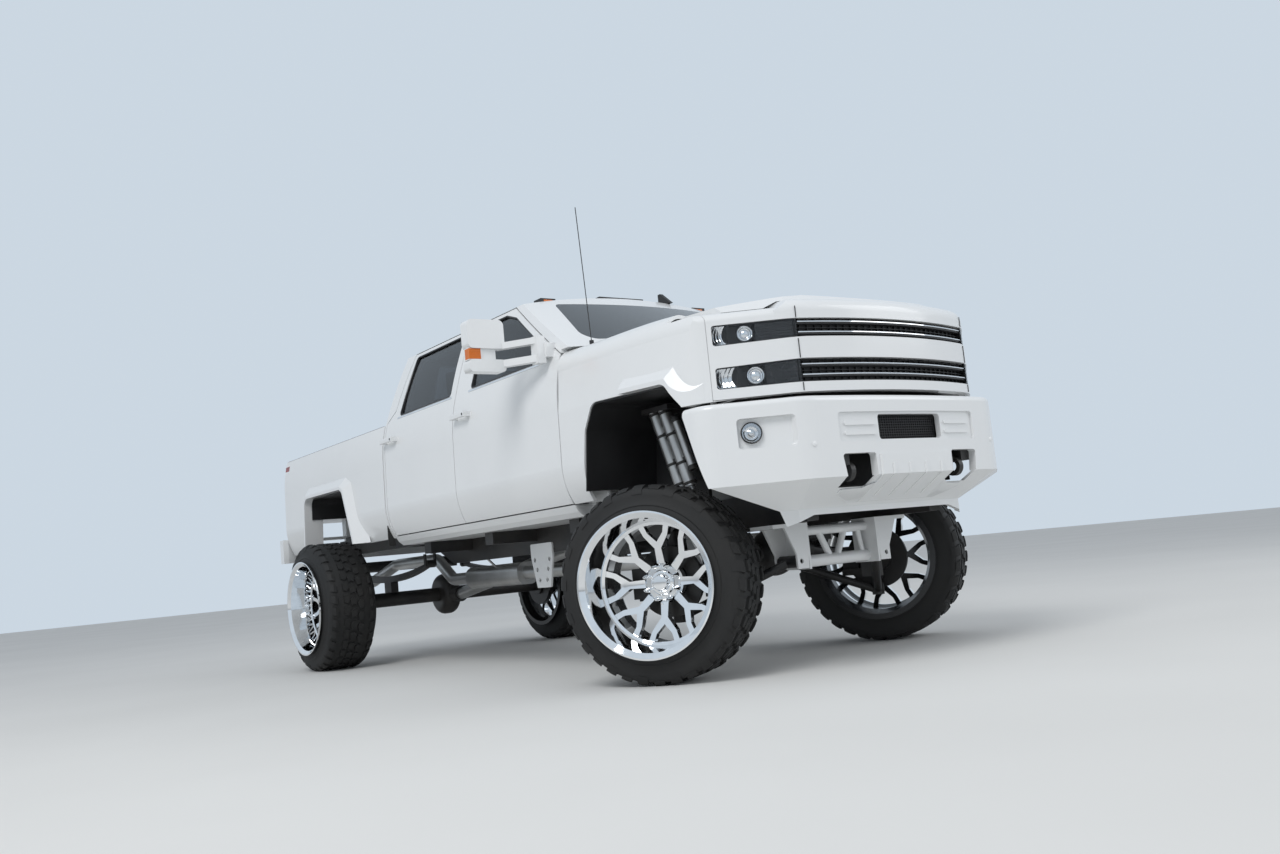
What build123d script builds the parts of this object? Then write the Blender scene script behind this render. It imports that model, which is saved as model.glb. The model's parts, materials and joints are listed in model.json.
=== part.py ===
from build123d import *
import math
import os

os.makedirs("parts", exist_ok=True)

# A lifted heavy-duty crew-cab pickup truck on wide stretched tyres.
# The truck points along +X, its left side is +Y, and the ground is z = 0.
# The right-hand piece of a pair is drawn first, and the left one is its mirror image.
# "out" is a distance from the middle plane of the truck towards the right-hand side.

# Driving dimensions, in millimetres and degrees
overall_length = 6083.0
wheelbase = 3904.0
front_axle_x = 2031.5
rear_axle_x = front_axle_x - wheelbase
nose_x = overall_length / 2
tail_x = -overall_length / 2

tyre_radius = 470.0
tyre_width = 350.0
rim_lip_radius = 345.0
rim_width = 432.0
hub_face_depth = 317.0
hub_hole_radius = 62.0
spoke_count = 8
front_kingpin_out = 712.0
front_lip_offset = 412.0
rear_lip_out = 1231.0
steer_angle = 30.6
axle_z = tyre_radius

rocker_bottom_z = 845.0
rail_high_z = rocker_bottom_z
rocker_out = 858.0
sill_z = 871.0
sill_out = 890.0
tuck_z = 1000.0
tuck_out = 950.0
crease_z = 1112.0
crease_out = 968.0
waist_z = 1400.0
waist_out = 962.0
shoulder_z = 1564.0
shoulder_out = 951.0
belt_z = 1705.0
belt_out = 918.0
pane_mid_z = 1931.0
pane_mid_out = 848.0
rail_z = 2146.0
rail_out = 762.0
roof_z = 2216.0

cab_rear_x = -836.0
cab_wall = 60.0
firewall_x = 1510.0
floor_z = 905.0
door_gap = 7.0
door_thickness = 90.0
frame_thickness = 45.0
skin_thickness = 8.0
hinge_setback = 59.0
hinge_inset = 11.0
front_door_x = 1470.0
b_line_x = 235.0
rear_door_end_x = -806.0
door_bottom_z = 915.0
door_top_z = 2139.0
post_clearance = 106.0
upper_clearance = 60.0
pane_thickness = 6.0

screen_base_x = 1680.0
screen_base_z = 1777.0
screen_top_x = 943.0
screen_top_z = 2185.0
screen_radius = 2262.0

fascia_x = nose_x - 33.5
fascia_bow = 82.0
fascia_bend_out = 590.0
fascia_sweep = 0.80
fascia_bend_radius = 260.0
fascia_out = 898.0
fascia_depth = 55.0
fascia_bottom_z = 1262.0
fascia_top_z = 1662.0
fascia_peak_z = 1697.0
bumper_x = nose_x - 12.0
bumper_bow = 38.5
bumper_bend_out = 640.0
bumper_sweep = 0.767
bumper_out = 1010.0
bumper_top_z = 1235.0
bumper_bottom_z = 866.0
bumper_wall = 40.0

bed_front_x = -852.0
bed_rear_x = tail_x + 141.5
bed_rail_z = 1682.0
bed_floor_z = 1172.0
bed_bottom_z = 900.0
tailgate_thickness = 60.0

frame_rail_width = 76.0


def save(name, *solids):
    shape = solids[0] if len(solids) == 1 else Compound(children=list(solids))
    export_step(shape, os.path.join("parts", name + ".step"))


def prism(corners, radius, direction, length):
    """A closed outline of 3-D corners, rounded by radius and extruded."""
    if radius:
        path = FilletPolyline(*corners, radius=radius, close=True)
    else:
        path = Polyline(*corners, close=True)
    return extrude(make_face(path), amount=length, dir=direction)


def side_prism(points, out_from, out_to, radius=0):
    """A side-view outline of (x, z) points between two distances out to the right."""
    corners = [(x, -out_from, z) for x, z in points]
    return prism(corners, radius, (0, -1, 0), out_to - out_from)


def section_prism(points, x_from, x_to, radius=0):
    """A cross-section of (out, z) points, extruded along the truck."""
    corners = [(x_from, -out, z) for out, z in points]
    return prism(corners, radius, (1, 0, 0), x_to - x_from)


def plan_prism(points, z_from, z_to, radius=0):
    """A plan outline of (x, out) points, extruded upwards."""
    corners = [(x, -out, z_from) for x, out in points]
    return prism(corners, radius, (0, 0, 1), z_to - z_from)


def block(x_from, x_to, out_from, out_to, z_from, z_to):
    """A plain block on the right-hand side."""
    size = Box(x_to - x_from, out_to - out_from, z_to - z_from)
    return Pos((x_from + x_to) / 2, -(out_from + out_to) / 2, (z_from + z_to) / 2) * size


def rod(start, end, radius):
    """A round bar between two points (x, out, z)."""
    a = Vector(start[0], -start[1], start[2])
    b = Vector(end[0], -end[1], end[2])
    return Solid.make_cylinder(radius, (b - a).length, Plane(a, z_dir=b - a))


def left_of(shape):
    """The mirror image of a right-hand piece."""
    return mirror(shape, about=Plane.XZ)


def pair(shape):
    return [shape, left_of(shape)]


def whole(shape):
    """A right-hand half fused with its mirror image."""
    return shape + left_of(shape)


def bow_x(apex_x, radius, out):
    """Where a plan arc bowed forward at the middle stands at a distance out."""
    return apex_x - radius + math.sqrt(radius**2 - out**2)


def bow_arc(apex_x, radius, out, z):
    """A plan arc across the truck, bowed forward at the middle."""
    end_x = bow_x(apex_x, radius, out)
    return ThreePointArc((end_x, -out, z), (apex_x, 0, z), (end_x, out, z))


def bowed_plate(apex_x, radius, out, depth, z_from, z_to):
    """A plate across the truck between two bowed plan arcs."""
    front = bow_arc(apex_x, radius, out, z_from)
    back = bow_arc(apex_x - depth, radius, out, z_from)
    ends = [Line(front @ 0, back @ 0), Line(front @ 1, back @ 1)]
    return extrude(make_face([front, back] + ends), amount=z_to - z_from, dir=(0, 0, 1))


def swept_face(apex_x, bow, bend_out, slope, end_out, shrink, z):
    """A plan outline pulled in by shrink: a bowed middle, two straight wings and two flanks."""
    bow_angle = 2 * math.atan(bow / bend_out)
    wing_angle = math.atan(slope)
    pull = shrink / (1 + math.cos(wing_angle - bow_angle))
    bend_x = apex_x - bow - pull * (math.cos(bow_angle) + math.cos(wing_angle))
    bend = bend_out - pull * (math.sin(bow_angle) + math.sin(wing_angle))
    end = end_out - shrink
    end_x = bend_x - slope * (end - bend)
    back_x = apex_x - 900
    front = ThreePointArc((bend_x, -bend, z), (apex_x - shrink, 0, z), (bend_x, bend, z))
    rest = Polyline(front @ 1, (end_x, end, z), (back_x, end, z), (back_x, -end, z), (end_x, -end, z), front @ 0)
    return make_face([front] + rest.edges())


def half_body(x_from, x_to, low_inset=0.0, high_inset=0.0, roof_drop=0.0, bottom_z=rocker_bottom_z):
    """The right half of the cab's body as a solid, each flank moved inward by its inset."""

    def low(out, z):
        return (x_from, low_inset - out, z)

    def high(out, z):
        return (x_from, high_inset - out, z)

    rail = high(rail_out, rail_z - roof_drop)
    crown = (x_from, 0, roof_z - roof_drop)
    crown_radius = (rail_out**2 + (roof_z - rail_z) ** 2) / (2 * (roof_z - rail_z))
    half_rail = rail_out / 2
    crown_drop = half_rail**2 / (2 * crown_radius)
    edges = [
        Line((x_from, 0, bottom_z), low(rocker_out, bottom_z)),
        Line(low(rocker_out, bottom_z), low(sill_out, max(sill_z, bottom_z + 1))),
        ThreePointArc(low(sill_out, max(sill_z, bottom_z + 1)), low(tuck_out, tuck_z), low(crease_out, crease_z)),
        Line(low(crease_out, crease_z), low(waist_out, waist_z)),
        ThreePointArc(low(waist_out, waist_z), low(shoulder_out, shoulder_z), low(belt_out, belt_z)),
        ThreePointArc(high(belt_out, belt_z), high(pane_mid_out, pane_mid_z - roof_drop / 2), rail),
        ThreePointArc(rail, (x_from, high_inset / 2 - half_rail, roof_z - roof_drop - crown_drop), crown),
        Line(crown, (x_from, 0, bottom_z)),
    ]
    if low_inset != high_inset:
        edges.append(Line(low(belt_out, belt_z), high(belt_out, belt_z)))
    return extrude(make_face(edges), amount=x_to - x_from, dir=(1, 0, 0))


# The doors, in side view. Each outline runs round the shut line.
front_door_outline = [
    (front_door_x, door_bottom_z),
    (front_door_x, 1722.0),
    (800.0, door_top_z),
    (b_line_x + door_gap / 2, door_top_z),
    (b_line_x + door_gap / 2, door_bottom_z),
]
rear_door_outline = [
    (b_line_x - door_gap / 2, door_bottom_z),
    (b_line_x - door_gap / 2, door_top_z),
    (-596.0, door_top_z),
    (-694.0, 1760.0),
    (rear_door_end_x, 1690.0),
    (rear_door_end_x, door_bottom_z),
]
front_window_outline = [(430, 1716), (430, 2118), (705, 2118), (850, 2071), (1206, 1847), (1206, 1716)]
rear_window_outline = [(160, 1716), (160, 2118), (-560, 2118), (-622, 1716)]


def grown(points, amount, radius=0):
    """The side-view face of an outline, grown or shrunk by an amount."""
    if radius:
        face = make_face(FilletPolyline(*points, radius=radius, close=True))
        return offset(face, amount=amount)
    face = make_face(Polyline(*points, close=True))
    if amount == 0:
        return face
    return offset(face, amount=amount, kind=Kind.INTERSECTION)


def through(face, out_from, out_to):
    """A side-view face extruded between two distances out."""
    return extrude(Plane.XZ.offset(out_from) * face, amount=out_to - out_from)


body = half_body(cab_rear_x, 1800.0)
body_under_skin = half_body(cab_rear_x, 1800.0, skin_thickness, skin_thickness)
body_inside_doors = half_body(cab_rear_x, 1800.0, door_thickness, frame_thickness)
body_behind_doors = half_body(cab_rear_x, 1800.0, post_clearance, upper_clearance)


def door(outline, window, handle_x):
    """A door: an outer skin folded over a box, with its window cut and its pull handle."""
    skin = (body - body_under_skin) & through(grown(outline, 0), 600, 1050)
    box = (body_under_skin - body_inside_doors) & through(grown(outline, -10), 600, 1050)
    shape = skin + box - side_prism(window, 600, 1050, radius=28)
    return shape + door_handle(handle_x)


handle_z = 1560.0
handle_length = 190.0


def door_handle(x):
    """A strap handle that stands off the skin on two feet."""
    half = handle_length / 2
    strap = block(x - half, x + half, 984, 1000, handle_z - 17, handle_z + 17)
    feet = [block(x + s * (half - 16) - 16, x + s * (half - 16) + 16, 930, 992, handle_z - 15, handle_z + 15)
            for s in (-1, 1)]
    return fillet(strap.edges().filter_by(Axis.X), 7) + feet


doors = {
    "front": door(front_door_outline, front_window_outline, 375.0),
    "rear": door(rear_door_outline, rear_window_outline, -700.0),
}


def door_pane(window):
    """A window pane set in the middle of the door's frame."""
    outer = half_body(cab_rear_x, 1800.0, 30.0, 14.0)
    inner = half_body(cab_rear_x, 1800.0, 30.0 + pane_thickness, 14.0 + pane_thickness)
    return (outer - inner) & side_prism(window, 600, 1050, radius=28)


panes = {"front": door_pane(front_window_outline), "rear": door_pane(rear_window_outline)}

for end in ("front", "rear"):
    save(f"door_{end}_right", doors[end])
    save(f"door_{end}_left", left_of(doors[end]))
    save(f"door_glass_{end}_right", panes[end])
    save(f"door_glass_{end}_left", left_of(panes[end]))


# The cab shell: floor, firewall, roof, pillars and rear wall, with the screens cut.
def screen_space(shift=0.0):
    """Everything behind the windshield's outer surface, moved back by shift."""
    base_z = 1745.0
    slope = (screen_top_x - screen_base_x) / (screen_top_z - screen_base_z)
    apex = screen_base_x + slope * (base_z - screen_base_z) - shift
    front = bow_arc(apex, screen_radius, 1000, base_z)
    rear_x = cab_rear_x - 900
    start, end = front @ 0, front @ 1
    sides = Polyline(start, (rear_x, -1000, base_z), (rear_x, 1000, base_z), end)
    height = 520.0
    run = Vector(slope * height, 0, height)
    face = make_face([front] + sides.edges())
    return extrude(face, amount=run.length, dir=run)


def cab_front(shift, wall_x):
    """The space behind the windshield above the cowl and behind the firewall below it."""
    lower = whole(block(cab_rear_x - 50, wall_x, 0, 1050, 700, 1745))
    return screen_space(shift) + lower


rear_wall_top_x = -706.0
rear_slope = [(cab_rear_x, 700), (cab_rear_x, 1690), (rear_wall_top_x, 2300), (1900, 2300), (1900, 700)]
rear_slope_inner = [(x + (cab_wall if x < 0 else 0), z) for x, z in rear_slope]
cab_outer = body & cab_front(0, firewall_x) & side_prism(rear_slope, 0, 1100)
cab_cavity = half_body(cab_rear_x, 1800.0, 165, 90, 45, floor_z) & cab_front(48, firewall_x - 45)
cab_cavity = cab_cavity & side_prism(rear_slope_inner, 0, 1100)
slab_zone = body - body_behind_doors
cab = cab_outer - cab_cavity
for outline in (front_door_outline, rear_door_outline):
    cab = cab - (slab_zone & through(grown(outline, door_gap), 600, 1050))
    cab = cab - through(grown(outline, -60), 500, 1050)
cab = whole(cab - block(1477, 1800, 797, 1100, 700, 1746))
screen_opening = [(768, 1800), (-768, 1800), (-590, 2138), (590, 2138)]
rear_opening = [(600, 1762), (-600, 1762), (-545, 2090), (545, 2090)]
screen_hole = section_prism(screen_opening, 700, 1800, radius=50)
rear_hole = section_prism(rear_opening, cab_rear_x - 10, cab_rear_x + 260, radius=50)
cab = cab - screen_hole - rear_hole
# The welded panels meet at these planes: floor, roof, rear wall, door posts and firewall.
floor_seam_z = 962.0
roof_seam_z = 2122.0
rear_seam_x = -600.0
firewall_seam_x = 1405.0
cab_zones = [
    block(-1000, 2000, -1100, 1100, 600, floor_seam_z),
    block(-1000, 2000, -1100, 1100, roof_seam_z, 2400),
    block(-1000, rear_seam_x, -1100, 1100, floor_seam_z, roof_seam_z),
    block(rear_seam_x, firewall_seam_x, -1100, 1100, floor_seam_z, roof_seam_z),
    block(firewall_seam_x, 2000, -1100, 1100, floor_seam_z, roof_seam_z),
]
cab_panels = [panel for zone in cab_zones for panel in (cab & zone).solids()]
save("cab_shell", *cab_panels)

windshield = (screen_space() - screen_space(12)) & screen_hole
rear_skin = side_prism(rear_slope, -700, 700) - Pos(pane_thickness, 0, 0) * side_prism(rear_slope, -700, 700)
rear_glass = rear_skin & rear_hole & whole(body)
save("cab_glass", windshield, rear_glass)


# Front fenders: a lofted flank with a flared arch.
# Columns: x, sill out, tuck out, crease out, waist out, shoulder out, shoulder z, top z
fender_sections = [
    (1477.0, 893.0, 951.0, 968.0, 962.0, 940.0, 1620.0, 1742.0),
    (2000.0, 900.0, 955.0, 975.0, 972.0, 955.0, 1610.0, 1716.0),
    (2500.0, 900.0, 955.0, 978.0, 978.0, 958.0, 1595.0, 1693.0),
    (2762.0, 884.0, 932.0, 953.0, 953.0, 936.0, 1580.0, 1664.0),
]
hood_edge_out = 800.0
fender_wall = 14.0
fascia_roll = 42.0
peak_roll = 60.0
fascia_flange = 130.0
fender_corner_radius = 150.0
panel_gap = 3.0


def nose_space(shrink, end_out=1060.0, corner=0.0):
    """The space behind the swept nose, pulled in by shrink."""
    plan = swept_face(fascia_x, fascia_bow, fascia_bend_out, fascia_sweep, end_out, shrink, 700)
    if corner:
        plan = fillet(plan.vertices().group_by(Axis.X)[-2], corner)
    plan = fillet(plan.vertices().group_by(Axis.X)[-1], fascia_bend_radius - shrink)
    return extrude(plan, amount=1200, dir=(0, 0, 1))


def nose_block(shrink, top_z, roll):
    """The swept nose up to a flat top, its front upper edge rolled back."""
    nose = nose_space(shrink) & Pos(0, 0, top_z - 1000) * Box(9000, 3000, 2000)
    rim = nose.faces().sort_by(Axis.Z)[-1].edges().filter_by(lambda e: e.center().X > fascia_x - 600)
    return fillet([edge for edge in rim if abs(edge.center().Y) < 1000], roll)




def fender_solid(inset):
    """The flank filled in to the inner edge, its outer side moved inward by inset."""
    faces = []
    for x, sill, tuck, crease, waist, shoulder, high_z, top_z in fender_sections:
        low_z = 890.0 + inset
        crown_z = top_z - inset
        inner = hood_edge_out + 3 + inset
        edges = [
            Line((x, -inner, low_z), (x, inset - sill, low_z)),
            ThreePointArc((x, inset - sill, low_z), (x, inset - tuck, tuck_z), (x, inset - crease, crease_z)),
            Line((x, inset - crease, crease_z), (x, inset - waist, waist_z)),
            Line((x, inset - waist, waist_z), (x, inset - shoulder, high_z)),
            ThreePointArc(
                (x, inset - shoulder, high_z),
                (x, inset - shoulder + 26, (high_z + crown_z) / 2 + 26),
                (x, -inner, crown_z),
            ),
            Line((x, -inner, crown_z), (x, -inner, low_z)),
        ]
        faces.append(make_face(edges))
    return loft(faces)


front_arch = [(1640, 800), (1662, 953), (1715, 1270), (1800, 1401), (2470, 1376), (2566, 1256), (2740, 800)]
flare_width = 124.0
flare_from = 930.0
flare_to = 1016.0
flare_slope = 50.0


def flare(opening):
    """A band that swells out round a wheel opening."""
    base = grown(opening, flare_width)
    return extrude(Plane.XZ.offset(flare_from) * base, amount=flare_to - flare_from, taper=flare_slope)


fender_limit = [(1477, 912), (1477, 1760), (2900, 1760), (2900, 1268), (2560, 1250), (2560, 912)]


def fender_space(shrink):
    """The space behind the fender's rounded front end."""
    front = nose_block(shrink, fascia_top_z - shrink, fascia_roll - shrink)
    front = front & nose_space(shrink, 975.0, fender_corner_radius)
    return front + whole(block(1400, 2450, 0, 1060, 700, 1800))


fender = (fender_solid(0) & fender_space(0)) - (fender_solid(fender_wall) & fender_space(fender_wall))
fender = (fender + (flare(front_arch) & nose_space(0, flare_to + 4, 240.0))) & side_prism(fender_limit, 700, 1050)
fascia_zone = (nose_space(0) - nose_space(fascia_flange + panel_gap)) & block(
    2300, 3200, 0, fascia_out + panel_gap, fascia_bottom_z - panel_gap, 1800
)
fender = fender - fascia_zone
fender = fender - side_prism(front_arch, 700, 1100, radius=70)
save("fenders", *pair(fender))


# The hood: one crowned skin with a raised centre, hinged along its rear edge.
hood_rear_apex_x = 1800.0
hood_rear_radius = 2564.0
hood_edge_z = 1755.0
hood_slope = 0.045
hood_crown = 62.0
hood_centre_rise = 13.0
hood_thickness = 36.0
hood_shut_gap = 6.0
hood_fall_x = 2330.0
hood_nose_z = 1694.0
hood_set_back = 34.0
hood_brow_angle = 52.0


def hood_solid(drop):
    """The space under the hood's outer surface, lowered by drop."""
    start_x = 1480.0
    start_z = hood_edge_z - drop
    length = 1700.0
    run = Vector(length, 0, -hood_slope * length)
    edge = hood_edge_out - hood_shut_gap / 2
    top = ThreePointArc((start_x, -edge, start_z), (start_x, 0, start_z + hood_crown), (start_x, edge, start_z))
    sides = Polyline(top @ 0, (start_x, -edge, start_z - 400), (start_x, edge, start_z - 400), top @ 1)
    solid = extrude(make_face([top] + sides.edges()), amount=run.length, dir=run)
    outer_half = 440.0
    inner_half = 380.0
    foot_z = start_z + hood_crown * (1 - (outer_half / edge) ** 2) - 4
    raised_z = start_z + hood_crown * (1 - (inner_half / edge) ** 2) + hood_centre_rise
    raised = ThreePointArc(
        (start_x, -inner_half, raised_z),
        (start_x, 0, start_z + hood_crown + hood_centre_rise),
        (start_x, inner_half, raised_z),
    )
    rest = Polyline(raised @ 1, (start_x, outer_half, foot_z), (start_x, -outer_half, foot_z), raised @ 0)
    return solid + extrude(make_face([raised] + rest.edges()), amount=run.length, dir=run)


def hood_fall(drop):
    """The side-view space under the hood's falling front, lowered by drop."""
    start_z = hood_edge_z + hood_crown + hood_centre_rise - hood_slope * (hood_fall_x - 1480) - drop
    nose_z = hood_nose_z - drop
    middle_x = (hood_fall_x + fascia_x) / 2
    middle_z = (start_z + nose_z) / 2 + 24
    curve = ThreePointArc((hood_fall_x, 900, start_z), (middle_x, 900, middle_z), (fascia_x, 900, nose_z))
    rest = Polyline(
        curve @ 1,
        (fascia_x, 900, 1500),
        (1400, 900, 1500),
        (1400, 900, start_z + 60),
        (hood_fall_x, 900, start_z + 60),
        curve @ 0,
    )
    return extrude(make_face([curve] + rest.edges()), amount=1800, dir=(0, -1, 0))


def hood_brow(shrink):
    """The space behind the hood's front edge, leaning back from the fascia's top."""
    low_z = fascia_top_z - 10
    plan = swept_face(
        fascia_x, fascia_bow, fascia_bend_out, fascia_sweep, 1060, hood_set_back + shrink, low_z
    )
    return extrude(plan, amount=150, dir=(0, 0, 1), taper=hood_brow_angle)


hood_rear = bow_arc(hood_rear_apex_x, hood_rear_radius, 900, 1500)
hood_plan = extrude(
    make_face([hood_rear] + Polyline(hood_rear @ 0, (3100, -900, 1500), (3100, 900, 1500), hood_rear @ 1).edges()),
    amount=500,
    dir=(0, 0, 1),
)
# Below this front-view outline the nose belongs to the fascia.
shut_line = [
    (-1060, fascia_top_z), (-654, fascia_top_z), (-574, fascia_peak_z), (574, fascia_peak_z), (654, fascia_top_z),
    (1060, fascia_top_z),
]


def under_shut_line(lift):
    outline = [(-1060, 1100)] + [(out, z + lift) for out, z in shut_line] + [(1060, 1100)]
    return section_prism(outline, 2400, 3200)


hood_rear_part = whole(block(1400, 2500, 0, 900, 1500, 1900))
hood_outer = hood_solid(0) & hood_plan & hood_fall(0)
hood_outer = hood_outer & (hood_brow(0) + hood_rear_part)
hood_inner = hood_solid(hood_thickness) & Pos(-hood_thickness, 0, 0) * hood_plan & hood_fall(hood_thickness)
hood_inner = hood_inner & (hood_brow(hood_thickness) + hood_rear_part)
hood = hood_outer - hood_inner - under_shut_line(hood_shut_gap)
hood_hinge_x = 1668.0
hood_hinge_z = 1712.0
hinge_outs = (655.0, 700.0)
hinge_leaf = block(hood_hinge_x - 8, hood_hinge_x + 60, *hinge_outs, hood_hinge_z - 8, hood_hinge_z + 8)
hinge_leaf = hinge_leaf + block(hood_hinge_x + 40, hood_hinge_x + 60, *hinge_outs, hood_hinge_z - 8, 1745)
hinge_barrel = rod((hood_hinge_x, hinge_outs[0], hood_hinge_z), (hood_hinge_x, hinge_outs[1], hood_hinge_z), 12)
save("hood", hood + whole(hinge_leaf + hinge_barrel))

cowl_top_z = 1698.0
cowl = bowed_plate(1775.0, hood_rear_radius, 795, 80, cowl_top_z - 18, cowl_top_z)
cowl = cowl + bowed_plate(1738.0, screen_radius, 795, 40, cowl_top_z - 18, 1745)
hinge_ears = [
    block(hood_hinge_x - 14, hood_hinge_x + 8, out - 12, out, cowl_top_z - 18, hood_hinge_z + 8)
    for out in (hinge_outs[0], hinge_outs[1] + 12)
]
cowl = cowl + [whole(ear) for ear in hinge_ears]
save("cowl", cowl)


# The front fascia: a swept panel with openings for two grilles and four lamps.
grille_out = 569.0
lamp_inner_out = 571.0
lamp_outer_out = 881.0
upper_grille_z = (1514.0, 1599.0)
lower_grille_z = (1307.0, 1415.0)
hole_inner_out = lamp_inner_out - 40
upper_lamp = [(hole_inner_out, 1514), (hole_inner_out, 1599), (lamp_outer_out, 1601), (lamp_outer_out, 1506)]
lower_lamp = [(hole_inner_out, 1307), (hole_inner_out, 1415), (lamp_outer_out, 1405), (lamp_outer_out, 1308)]
grille_openings = [
    [(-grille_out, low), (-grille_out, high), (grille_out, high), (grille_out, low)]
    for low, high in (upper_grille_z, lower_grille_z)
]


def front_cut(points, radius, x_from=nose_x - 440, x_to=nose_x + 60):
    """A front-view outline cut right through the nose."""
    return section_prism(points, x_from, x_to, radius=radius)


def peak_zone(shrink):
    """The raised middle of the fascia, in front view."""
    outline = [(-654, 1500), (-654, fascia_top_z - 20), (-574, fascia_peak_z + 1 - shrink)]
    outline = outline + [(-out, z) for out, z in reversed(outline)]
    return section_prism(outline, 2300, 3200)


def fascia_space(shrink, drop):
    """The space under the fascia's face and its rolled top."""
    low = nose_block(shrink, fascia_top_z - drop, fascia_roll)
    return low + (nose_block(shrink, fascia_peak_z - drop, peak_roll) & peak_zone(drop))


fascia = fascia_space(0, 0) - fascia_space(fascia_depth, 30) - nose_space(fascia_flange)
fascia = fascia & whole(block(2300, 3200, 0, fascia_out, fascia_bottom_z, 1800))
for outline in grille_openings:
    fascia = fascia - front_cut(outline, 0)
for outline in (upper_lamp, lower_lamp):
    fascia = fascia - whole(front_cut(outline, 12))
save("front_fascia", fascia)

bar_height = 14.0
bar_proud = 12.0
bar_offset = 24.0


def nose_layer(shrink, depth, z_from, z_to):
    """A plate parallel to the nose's face between two heights."""
    layer = nose_space(shrink) - nose_space(shrink + depth)
    return layer & whole(block(2300, 3200, 0, 1000, z_from, z_to))


def grille_insert(low, high):
    """A dark back with two bright bars, cut to the opening's outline."""
    mid = (low + high) / 2
    insert = nose_layer(40, 10, low, high)
    for z in (mid - bar_offset, mid + bar_offset):
        insert = insert + nose_layer(bar_proud, 32, z - bar_height / 2, z + bar_height / 2)
    return insert & front_cut([(-grille_out, low), (-grille_out, high), (grille_out, high), (grille_out, low)], 0)


save("grille", *[grille_insert(low, high) for low, high in (upper_grille_z, lower_grille_z)])

# The radiator and its support, which carries the fascia on the frame.
support_top_z = fascia_top_z - 80
support_front = nose_layer(fascia_depth, 30, fascia_bottom_z, support_top_z) & whole(block(2300, 3200, 0, 795, 1200, 1700))
for outline in grille_openings:
    support_front = support_front - front_cut(outline, 0)
radiator_x = fascia_x - 388.0
radiator = block(radiator_x, radiator_x + 70, -1, 640, rail_high_z, support_top_z)
support_side = block(radiator_x, fascia_x, 600, 612, fascia_bottom_z, support_top_z) & nose_space(fascia_depth)
save("radiator_support", whole(radiator + support_side) + support_front)


def lamp(outline):
    """A headlamp body filling its opening, its lens just behind the fascia's face."""
    lens = nose_layer(5, fascia_depth - 11, fascia_bottom_z, fascia_top_z)
    return (lens & front_cut(outline, 12)) - block(2300, 3200, 0, lamp_inner_out, 1200, 1700)


# The front bumper: a bowed bar that wraps round to the wheel openings.
bumper_corner_radius = 130.0
bumper_crease_radius = 220.0
bumper_top_round = 26.0
bumper_end_x = nose_x - 451.5
bumper_side_from_x = nose_x - 341.5
fog_outline = [(678, 1022), (678, 1157), (886, 1157), (886, 1022)]
fog_lamp_out = 836.0
fog_lamp_z = 1093.0
fog_lamp_radius = 48.0
fog_recess = 26.0
centre_opening = [(-215, 1028), (-215, 1144), (215, 1144), (215, 1028)]
step_outline = [(-466, 1020), (-466, 1156), (466, 1156), (466, 1020)]
step_depth_in = 12.0
step_ribs = [(238.0, 1060.0), (238.0, 1105.0)]
hook_opening = [(262, 822), (262, 968), (462, 968), (440, 822)]


def bumper_face(shrink, z, corner_radius=0.0):
    """The plan outline of the bumper's outer face, pulled in by shrink."""
    face = swept_face(bumper_x, bumper_bow, bumper_bend_out, bumper_sweep, bumper_out, shrink, z)
    if corner_radius:
        face = fillet(face.vertices().group_by(Axis.X)[-2], corner_radius - shrink)
        face = fillet(face.vertices().group_by(Axis.X)[-1], bumper_crease_radius - shrink)
    return face


def bumper_plan(shrink, z_from, z_to):
    """The space inside the bumper's outer face, pulled in by shrink."""
    return extrude(bumper_face(shrink, z_from, bumper_corner_radius), amount=z_to - z_from, dir=(0, 0, 1))


def bumper_skin(shrink, depth, outline, radius):
    """A piece of the bumper's wall between two depths, cut to a front-view outline."""
    layer = bumper_plan(shrink, 800, 1300) - bumper_plan(shrink + depth, 790, 1310)
    return layer & front_cut(outline, radius)


bumper_cut = [
    (bumper_end_x, 1262),
    (bumper_end_x - 8, 1200),
    (bumper_side_from_x, bumper_bottom_z),
    (nose_x + 60, bumper_bottom_z),
    (nose_x + 60, 1262),
]
bumper_blank = bumper_plan(0, bumper_bottom_z, bumper_top_z)
bumper_rim = bumper_blank.faces().sort_by(Axis.Z)[-1].edges().filter_by(lambda e: e.center().X > nose_x - 850)
bumper_blank = fillet(bumper_rim, bumper_top_round)
bumper = bumper_blank - bumper_plan(bumper_wall, bumper_bottom_z - 5, bumper_top_z - 30)
bumper = bumper & side_prism(bumper_cut, -1100, 1100)
bumper = bumper - bumper_plan(bumper_wall + 70, bumper_top_z - 40, bumper_top_z + 5)
bumper = bumper - bumper_skin(-5, step_depth_in + 5, step_outline, 20)
for rib_out, rib_z in step_ribs:
    rib_outline = [(rib_out, rib_z - 9), (rib_out, rib_z + 9), (rib_out + 190, rib_z + 9), (rib_out + 190, rib_z - 9)]
    bumper = bumper + whole(bumper_skin(4, step_depth_in, rib_outline, 8))
bumper = bumper - front_cut(centre_opening, 16)
bumper = bumper - whole(bumper_skin(-5, 60, fog_outline, 16)) - whole(front_cut(hook_opening, 14))
fog_seat = whole(bumper_skin(fog_recess, 12, [(668, 1012), (668, 1167), (896, 1167), (896, 1012)], 16))
fog_wing = math.atan(bumper_sweep)
fog_wing_x = bumper_x - bumper_bow - bumper_sweep * (fog_lamp_out - bumper_bend_out)


def behind_fog(depth):
    """A point behind the bumper's wing on the fog lamp's own axis."""
    return (fog_wing_x - depth * math.cos(fog_wing), fog_lamp_out - depth * math.sin(fog_wing), fog_lamp_z)


fog_lamp = rod(behind_fog(70), behind_fog(12), fog_lamp_radius)
bumper = bumper + fog_seat - whole(fog_lamp)
save("front_bumper", bumper)

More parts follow.
